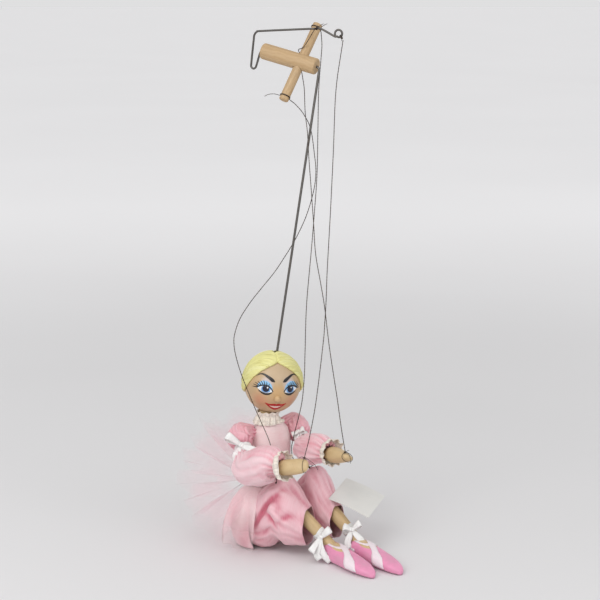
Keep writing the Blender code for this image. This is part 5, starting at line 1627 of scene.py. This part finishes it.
class SleevesOperator(bpy.types.Operator):
    """Gathered cap sleeves, ribbon ties with bows, and puffed lower sleeves"""

    bl_idname = "marionette.sleeves"
    bl_label = "Sleeves"

    TIE_RADIUS = {"right": 0.0082, "left": 0.0074}
    BOWS = {
        "right": (
            ((-12.5, -9, 0), (13, 9, 2)),
            (((-3, 5, 1), (-5.5, 10, 0.5), (-5, 16, 0)), ((3, 5, 2), (5.5, 11, 1.5), (4.5, 16.5, 1))),
        ),
        "left": (
            ((-5.5, 2.6, 1), (5.5, -2.4, 1)),
            (((1, 3, 1), (2.5, 6.5, 0.6)), ((-2, 3, 1), (-4, 5.5, 0.6))),
        ),
    }

    def execute(self, context):
        for side in SIDES:
            self.cap(side)
            self.tie(side)
            self.puff(side)
        return {"FINISHED"}

    @staticmethod
    def sew(name, stations, sizes, hint, seed, pleats, pleat_depth, lobes, count, rests_on):
        """A tube through stations, gathered at both ends: pleats fade to soft lobes at its middle."""
        centres, last = smooth_route(stations, count), count - 1
        radii = [row[1] for row in flowing(list(enumerate(sizes)), count)]
        aims = [centres[min(i + 1, last)] - centres[max(i - 1, 0)] for i in range(count)]
        rings = [axes(centre, aim, hint) for centre, aim in zip(centres, aims)]

        def at(share, turn):
            i, angle, middle = round(share * last), TURN * turn, sin(pi * share)
            c, s = cos(angle) * 1.3, sin(angle) * 1.3
            ends = exp(-share * 7) + exp(-(1 - share) * 7)
            pleat = sin(pleats * angle + 1.6 * ripple(c * 2 + seed, s * 2, seed)) * ends
            lobe = ripple(c * lobes / 3 + seed, s * lobes / 3, share * 2.2 + seed) * middle
            sharp = 0.5 - abs(ripple(c * 3 + seed, s * 3, share * 5 + seed) * middle)
            elbow = 0.75 + 0.7 * exp(-(((share - 0.30) / 0.18) ** 2))
            fold = pleat_depth * (0.7 * pleat + 1.3 * lobe + elbow * sharp * middle)
            r = radii[i] + fold
            point = rings[i] @ Vector((r * cos(angle), r * sin(angle), 0))
            # Depth in the fold, deeper at the gathered ends, where the cloth finish paints more shade.
            return point, 0.30 + 0.35 * ends - 0.42 * fold / pleat_depth

        return sewn(name, [shaped(count, 144, at, True)], measure("cloth"), rests_on)

    def cap(self, side):
        """From the armhole, over the shoulder, down to the ribbon."""
        upper, _ = arm_frames(side)
        sign, shoulder = SIDES[side], upper.to_translation()
        down = RIBBON_PLACE[side] - measure("ribbon_width") * 0.45
        stations = [
            (sign * 0.0182, shoulder.y, shoulder.z - 0.0010), (sign * 0.0250, shoulder.y, shoulder.z + 0.0002),
            shoulder + Vector((-sign * 0.0022, -0.0012, -0.0004)),
            *[upper @ (UP * (down * share)) for share in (0.45, 0.78, 1)],
        ]
        radii = (0.0066, 0.0082, 0.0106, 0.0112, 0.0100, self.TIE_RADIUS[side] - 0.0006)
        name = side + "_cap_sleeve"
        piece = self.sew(
            name + "_cloth", stations, radii, UP, 2.0 + sign, 13, 0.0016, 9, 44, side + "_upper_arm"
        )
        # The cap's pink lies halfway to the satin's fold shade; 214, 112, 136 is the painted shade in its
        # folds.
        rose = blended("satin", "satin_fold_shade", 0.48)
        cap = cloth_finish("rose_satin_cloth", rose, srgb(214, 112, 136), 3200.0, 0.38, 0.35)
        settle(piece, side + "_arm", cap, (name,))

    def puff(self, side):
        """From the ribbon, round the elbow, to the wrist."""
        upper, fore = arm_frames(side)
        start, tied = RIBBON_PLACE[side] + measure("ribbon_width") * 0.45, self.TIE_RADIUS[side] - 0.0006
        full, raised = {"right": (0.0168, 0.0062), "left": (0.0139, 0.0032)}[side]
        stations = [upper @ (UP * z) for z in (start, start * 0.5 + 0.018, 0.0375)]
        for z, share in ((0.0095, 0.6), (0.018, 1.0), (0.027, 0.90), (0.0335, 0.30)):
            stations.append(fore @ (UP * z) + UP * raised * share)
        radii = (tied, full * 0.70, full * 0.92, full, full, full * 0.86, FOREARM_RADIUS + 0.0028)
        name, hinge = side + "_puff_sleeve", joint_axis(side + "_elbow")
        piece = self.sew(
            name + "_cloth", stations, radii, hinge, 5.0 + SIDES[side], 15, 0.0018, 6, 64,
            side + "_forearm_wood",
        )
        settle(piece, None, satin_finish(), (name,))
        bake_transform(piece)

    def tie(self, side):
        """The ribbon round the sleeve with its bow."""
        upper, _ = arm_frames(side)
        place, radius = RIBBON_PLACE[side], self.TIE_RADIUS[side]
        width = measure("ribbon_width") * {"right": 1.0, "left": 0.8}[side]
        out = square_to(picture(0, 0, 1), upper.col[2].to_3d())
        centre = upper @ (UP * place) + out * (radius + 0.0009)
        patches = [ribbon_band(upper, radius, place, width), *bow(centre, out, width, *self.BOWS[side])]
        piece = thicken(grids(side + "_sleeve_bow", patches), measure("ribbon"))
        settle(piece, side + "_arm", ribbon_finish(), (side + "_sleeve_ribbon",))


class BloomersOperator(bpy.types.Operator):
    """Full gathered bloomer legs with open hems"""

    bl_idname = "marionette.bloomers"
    bl_label = "Bloomers"

    def execute(self, context):
        for side in SIDES:
            self.leg(side)
        return {"FINISHED"}

    @staticmethod
    def stations(side):
        """Along the leg: distance, centre height, half height, inner and outer half width."""
        lap, crown, wide, tuck = {"right": (1.0, 0.0, 1.0, 0.0035), "left": (0.84, 0.0051, 0.74, 0.0010)}[side]
        return [
            (0.002, 0.0275, 0.0235, 0.0050, 0.0125 * wide),
            (0.010, 0.0295 + crown * 0.4, 0.0275 * lap, 0.0060, 0.0165 * wide),
            (0.018, 0.0325 + crown * 0.8, 0.0305 * lap + crown * 0.4, 0.0085, 0.0195 * wide),
            (0.027, 0.0365 + crown + tuck * 0.6, 0.0320 * lap + crown * 0.6, 0.0100, 0.0215 * wide),
            (0.034, 0.0400 + crown + tuck, 0.0330 * lap + crown - tuck, 0.0135, 0.0230 * wide),
            (0.043, 0.0390 + crown * 0.6 + tuck, 0.0360 * lap + crown * 0.6 - tuck, 0.0145, 0.0242 * wide),
            (0.052, 0.0350 + tuck, 0.0310 * lap - tuck, 0.0135, 0.0202 * wide),
            (0.058, 0.0315 + tuck * 0.7, 0.0250 * lap - tuck * 0.7, 0.0120, 0.0158 * wide),
            (0.064, 0.0290 + tuck * 0.5, 0.0200 * lap - tuck * 0.5, 0.0114, 0.0140 * wide),
        ]

    def leg(self, side):
        """A leg from the hip to its open hem, in two lengths."""
        hip, knee, _ = leg_points(side)
        forward = Vector((knee.x - hip.x, knee.y - hip.y, 0)).normalized()
        inward = UP.cross(forward) * -SIDES[side]
        rings = flowing(self.stations(side), 76)

        def at(place, turn):
            along, height, half, inner, outer = rings[round(place * 75)]
            share, angle = (along - 0.002) / 0.062, TURN * turn
            c, s = cos(angle), sin(angle)
            wide = inner if c > 0 else outer
            fold = self.fold(side, angle, share) * min(1.0, 0.3 + 3.0 * share)
            swell = 1 + fold / max(half, wide) * 0.9
            centre = Vector((hip.x, hip.y, height)) + forward * along
            point = centre + inward * c * wide * swell + UP * s * half * swell
            point.z = max(point.z, 0.0006)
            return point, 0.30 - fold * 250

        rows, _, depth = shaped(76, 160, at, True)
        seam = next(i for i, row in enumerate(rings) if row[0] > 0.0445)
        thigh, shin = side + "_upper_leg", side + "_lower_leg"
        for part, span, edge, bodies, start, end in (
            ("_cloth", slice(seam + 1), seam, ("trunk", thigh), 0.004, 0.042),
            ("_hem", slice(seam, None), 0, (thigh, shin), 0.046, 0.062),
        ):
            patch = (rows[span], True, depth[span])
            piece = self.length(side + "_bloomer_leg", part, patch, edge, side + "_thigh")
            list(bodies)
            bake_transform(piece)

    @staticmethod
    def length(name, part, patch, seam, rests_on):
        """One length of a leg, sewn edge to edge to the other along its row at the seam."""
        piece = sewn(name + part, [patch], measure("cloth"), rests_on)
        wide = len(patch[0][0])
        joined = range(seam * wide, (seam + 1) * wide)
        for edge in piece.data.edges:
            edge.use_edge_sharp = all(end in joined for end in edge.vertices)
        # 206, 104, 126 is the painted shade in the bloomers' folds.
        rose = blended("satin", "satin_fold_shade", 0.28)
        cloth = cloth_finish("bloomer_satin_cloth", rose, srgb(206, 104, 126), 3200.0, 0.4, 0.3)
        return settle(piece, None, cloth, (name,))

    @staticmethod
    def fold(side, angle, share):
        """How far the cloth stands off its mean form here, in metres."""
        c, s = cos(angle) * 1.2, sin(angle) * 1.2
        middle = sin(pi * clamp(share * 1.02)) ** 0.6
        gather = sin(21 * angle + 2 * ripple(c * 2, s * 2, 1.0)) * exp(-share * 6) * 0.0009
        drape = 0.0017 * ripple(c * 1.7 + 3, s * 1.7, share * 1.8) * middle
        crush = 0.0042 * (0.30 - abs(ripple(c * 2.2 + 6, s * 2.2 + share, share * 3.0))) * middle
        crush += 0.0016 * (0.26 - abs(ripple(c * 4.6 + 2, s * 4.6 + share * 2, share * 6.5))) * middle
        hem = 0.0009 * sin(6 * angle + 1.0) * max(0.0, share - 0.78) / 0.22
        valley = 0.0
        if side == "right":
            line = radians(206 - 112 * share)
            gap = (angle - line) / radians(9)
            reach = exp(-(((share - 0.44) / 0.26) ** 2))
            roll = 0.0020 * exp(-(((gap + 2.6) / 1.7) ** 2)) + 0.0014 * exp(-(((gap - 2.6) / 1.6) ** 2))
            valley = reach * (roll - 0.0062 * exp(-gap * gap))
            for middle, turn, slope, deep, span in (
                (0.62, 150, -70, 0.0032, 0.13), (0.52, 187, 150, 0.0026, 0.10), (0.76, 176, -120, 0.0024, 0.10),
            ):
                gap = (angle - radians(turn + slope * (share - middle))) / radians(6.5)
                near = exp(-(((share - middle) / span) ** 2))
                valley -= deep * near * (exp(-gap * gap) - 0.5 * exp(-(((gap + 2.3) / 1.4) ** 2)))
        return gather + drape + crush + hem + valley


class SkirtsOperator(bpy.types.Operator):
    """Two fluted net layers and the pale overskirt panel"""

    bl_idname = "marionette.skirts"
    bl_label = "Skirts"

    def execute(self, context):
        self.net("tulle_upper", 0.0670, (50, 33, 16), 0.0, (48, 200))
        self.net("tulle_lower", 0.0615, (2, -16, -36), 1.6, (32, 196))
        self.panel()
        return {"FINISHED"}

    @staticmethod
    def net(name, z, lifts, phase, span):
        """Plies of net that spring from the waist and stand off in flutes, each at its own lift."""
        low, high = map(radians, span)
        flutes, cut = measure("tulle_flutes"), measure("tulle_length")

        def ply(number, lift):
            tilt, seed = radians(lift), 3.1 * number + z * 100

            def at(t, share):
                angle = low + (high - low) * share
                wander = ripple(share * 5 + seed, t * 1.2, seed)
                flute = sin(flutes * TURN * share + phase + number * 1.9 + 1.4 * wander)
                small = sin(27 * TURN * share + 3 * ripple(share * 9, t * 2, seed + 5)) * (1 - t) ** 2
                reach = cut * t * (0.92 + 0.10 * ripple(share * 3.5, seed, 2.0))
                rise = reach * sin(tilt) + 0.0034 * t**1.3 * flute + 0.0003 * small
                stand = reach * cos(tilt) * (1 - 0.03 * (1 - flute) * t)
                point = waist(angle, z, 0.0022 + 0.0003 * number) + outward(angle) * stand + UP * rise
                return point, 0.5 - 0.5 * flute

            return shaped(25, 181, at)

        piece = sewn(name + "_net", [ply(*each) for each in enumerate(lifts)], None, "bodice_cloth")
        net = finish("pink_net", sheer, colour=tint("tulle"), body=0.115, thread=0.14)
        settle(piece, "trunk", net, (name,))

    @staticmethod
    def panel():
        """The overskirt panel that hangs at the right hip."""
        top, bottom, flare = 0.0600, 0.0062, 0.028
        low, high = radians(166), radians(216)

        def at(t, share):
            angle = low + (high - low) * share
            fold = 0.0026 * t**0.7 * sin(2.3 * TURN * share + 2.2 * ripple(share * 2, t * 1.6, 4.0))
            fold += 0.0005 * sin(14 * TURN * share) * exp(-t * 6)
            fold += 0.0018 * (0.3 - abs(ripple(share * 4, t * 4, 2.0))) * t**0.5
            point = waist(angle, top, 0.0024) + outward(angle) * (flare * sin(t * pi / 2) ** 0.5 + fold)
            point.z = top + (bottom - top) * t
            return point, 0.15 - 110 * fold

        piece = sewn("overskirt_panel", [shaped(49, 97, at)], measure("cloth"), "bodice_cloth")
        # deep is the painted shade in the panel's folds.
        soft, deep = blended("nylon", "satin", 0.45), blended("satin", "satin_fold_shade", 0.55)
        panel = cloth_finish("sheer_nylon_cloth", soft, deep, 2600.0, 0.5, 0.3, (0.020, 0.060))
        settle(piece, "trunk", panel, ("overskirt",))


class ShoesOperator(bpy.types.Operator):
    """Pink slippers with pale straps, and white ankle ribbons with bows"""

    bl_idname = "marionette.shoes"
    bl_label = "Slippers"

    STATIONS = (
        (0.00, 0.42, 0.60), (0.03, 0.66, 0.86), (0.10, 0.84, 1.00), (0.24, 0.90, 1.00), (0.42, 0.97, 0.88),
        (0.60, 1.00, 0.74), (0.78, 0.88, 0.60), (0.91, 0.62, 0.46), (0.97, 0.40, 0.34), (1.00, 0.16, 0.20),
    )

    BOWS = {
        "right": (
            ((-9, 12, 2), (10, -7, 1)),
            (((0, 8, 4), (3, 16, 5), (9, 22, 5)), ((-2, 7, 4), (-4, 15, 4), (-1, 20, 4))),
        ),
        "left": (
            ((-8, -3, 1), (8, -5, 1)),
            (((-2, 5, 2), (-4, 11, 2.5), (-3, 17, 2.5)), ((4, 4, 2), (8, 8, 3), (10, 11, 3))),
        ),
    }

    def execute(self, context):
        for side in SIDES:
            self.straps(side, self.slipper(side))
            self.ankle(side)
        return {"FINISHED"}

    def slipper(self, side):
        """A slipper with its foot, and its rows for the straps to lie on."""
        _, _, ankle = leg_points(side)
        rows = []
        for share, wide, tall in flowing(self.STATIONS, 72):
            y = ankle.y + SHOE_HEEL - SHOE_LENGTH * share
            half, height = SHOE_HALF_WIDTH * wide, SHOE_HEIGHT * tall
            row = []
            for n in range(56):
                x, z = oval(half, height / 2, TURN * n / 56, 2.5)
                row.append(Vector((ankle.x + x, y, 0.0002 + height / 2 + z)))
            rows.append(row)
        piece = grids(side + "_slipper", [capped(rows)])
        paint = finish(side + "_slipper_paint", self.paint, colour=tint("shoe"), pale=tint("limb"), ankle=ankle)
        settle(piece, side + "_lower_leg", paint, (side + "_shoe",))
        return rows

    @staticmethod
    def paint(tree, shader, colour, pale, ankle):
        """Pink paint with the bare foot in the throat round the ankle and a darker sole line."""
        spot = place_map(tree, Matrix.Translation(ankle))
        parts = parts_of(tree, spot)
        paint = shared(tree, "brushed_paint", Vector=spot)
        marks = shared(tree, "handling_marks", Vector=spot, Scale=110.0)
        squeezed = node(tree, "Mapping", None, Vector=spot, Location=(0, 0.0075, 0), Scale=(1.0, 0.62, 0.3))
        gap = node(tree, "VectorMath", {"operation": "LENGTH"}, in0=squeezed.outputs[0]).outputs["Value"]
        throat = spread(tree, gap, 0.0066, 0.0070, 1.0, 0.0)
        throat = times(tree, throat, spread(tree, parts[2], 0.0080 - ankle.z, 0.0090 - ankle.z))
        base = mixed(tree, paint["Tone"], colour, [v * 0.88 for v in colour])
        base = mixed(tree, throat, base, pale)
        sole = spread(tree, parts[2], 0.0012 - ankle.z, 0.0024 - ankle.z, 0.55, 0.0)
        base = mixed(tree, sole, base, srgb(196, 132, 160))
        worn = mixed(tree, times(tree, marks["Mask"], 0.22), base, srgb(222, 190, 196))
        fill(
            tree, shader, Base_Color=worn, Roughness=spread(tree, marks["Mask"], 0.0, 1.0, 0.36, 0.55),
            Normal=bumped(tree, paint["Height"], 0.00005), Sheen_Weight=0.1,
        )

    @staticmethod
    def straps(side, rows):
        """A broad strap across the instep, and bands round the throat and the heel, lying on the slipper."""
        points, faces = [p for row in rows for p in row], list(quads(len(rows), len(rows[0]), True))
        skin = BVHTree.FromPolygons(points, faces)
        _, _, ankle = leg_points(side)

        def laid(x, y, z, lift):
            spot, normal, _, _ = skin.find_nearest(Vector((ankle.x + x, ankle.y + y, z)))
            return spot + normal * lift, 0.0

        def instep(t, share):
            x = SHOE_HALF_WIDTH * 1.15 * (1 - 2 * t)
            reach = abs(x) / SHOE_HALF_WIDTH
            z = 0.030 if reach < 0.5 else 0.030 - 0.027 * (reach - 0.5) / 0.65
            return laid(x, -0.0055 - 0.034 * t + 0.0150 * (share - 0.5), z, 0.0004)

        def throat(t, share):
            angle, out = TURN * t, 1 + 0.51 * share
            return laid(0.0066 * out * cos(angle), 0.0100 * out * sin(angle) - 0.0035, 0.024, 0.0003)

        def heel(t, share):
            return laid(0.020 * cos(pi * t), 0.016 * sin(pi * t) - 0.004, 0.0045 + 0.0081 * share, 0.0003)

        patches = [shaped(41, 7, instep), shaped(49, 4, throat), shaped(33, 4, heel)]
        piece = sewn(side + "_slipper_straps", patches, 0.0003, side + "_slipper")
        # Painted shade in the straps' folds: their colour a little darker.
        deep = [v * 0.85 for v in tint("shoe_strap")]
        strap = cloth_finish("pale_strap_weave", tint("shoe_strap"), deep, 4200.0, 0.36, 0.25)
        settle(piece, side + "_lower_leg", strap)

    def ankle(self, side):
        """The ribbon round the ankle with its bow."""
        shin, width = shin_frame(side), measure("ribbon_width")
        middle, radius, tilt = SHIN_LENGTH - 0.0155, 0.0060, 0.0016
        patches = [
            ribbon_band(shin, radius, middle, width * 0.66, tilt),
            ribbon_band(shin, radius + 0.00025, middle, width * 0.66, -tilt),
        ]
        toward = {"right": (-0.5, -0.2, 1), "left": (0.1, -0.6, 1)}[side]
        out = square_to(picture(*toward), SHIN_AIM[side].normalized())
        centre = shin @ (UP * (middle + 0.003)) + out * (radius + 0.0010)
        patches += bow(centre, out, width * 0.9, *self.BOWS[side])
        piece = thicken(grids(side + "_ankle_bow", patches), measure("ribbon"))
        settle(piece, side + "_lower_leg", ribbon_finish(), (side + "_ankle_ribbon",))


class CardOperator(bpy.types.Operator):
    """Blank white card"""

    bl_idname = "marionette.card"
    bl_label = "Card"

    def execute(self, context):
        card = finish("pressed_card", pressed_card, colour=tint("card"))
        dress_node("swing_tag", card, 0.0)
        return {"FINISHED"}


class MarionettePanel(bpy.types.Panel):
    """Lists the pieces, their sizes and their colours"""

    bl_idname = "VIEW3D_PT_marionette"
    bl_label = "Marionette"
    bl_space_type = "VIEW_3D"
    bl_region_type = "UI"
    bl_category = "Marionette"

    def draw(self, context):
        for operator in OPERATORS:
            self.layout.operator(operator.bl_idname)
        for group in (getattr(context.scene, name) for name in GROUPS_OF_PROPERTIES):
            box = self.layout.box()
            for name in group.bl_rna.properties.keys():
                if name not in ("rna_type", "name"):
                    box.prop(group, name)


OPERATORS = (
    StageOperator, StringsOperator, KnotsOperator, ControlOperator, LimbsOperator, HeadOperator,
    FaceOperator, HairOperator, BodiceOperator, LaceOperator, SleevesOperator, BloomersOperator,
    SkirtsOperator, ShoesOperator, CardOperator,
)
GROUPS_OF_PROPERTIES = {
    "marionette_sizes": MarionetteSizes,
    "marionette_colours": MarionetteColours,
    "marionette_stage": MarionetteStage,
}


def register():
    for name, group in GROUPS_OF_PROPERTIES.items():
        bpy.utils.register_class(group)
        setattr(bpy.types.Scene, name, PointerProperty(type=group))
    for each in (*OPERATORS, MarionettePanel):
        bpy.utils.register_class(each)


def unregister():
    for each in reversed((*OPERATORS, MarionettePanel)):
        bpy.utils.unregister_class(each)
    for name, group in GROUPS_OF_PROPERTIES.items():
        delattr(bpy.types.Scene, name)
        bpy.utils.unregister_class(group)


def main():
    register()
    for operator in OPERATORS:
        area, name = operator.bl_idname.split(".")
        getattr(getattr(bpy.ops, area), name)()


if __name__ == "__main__":
    main()
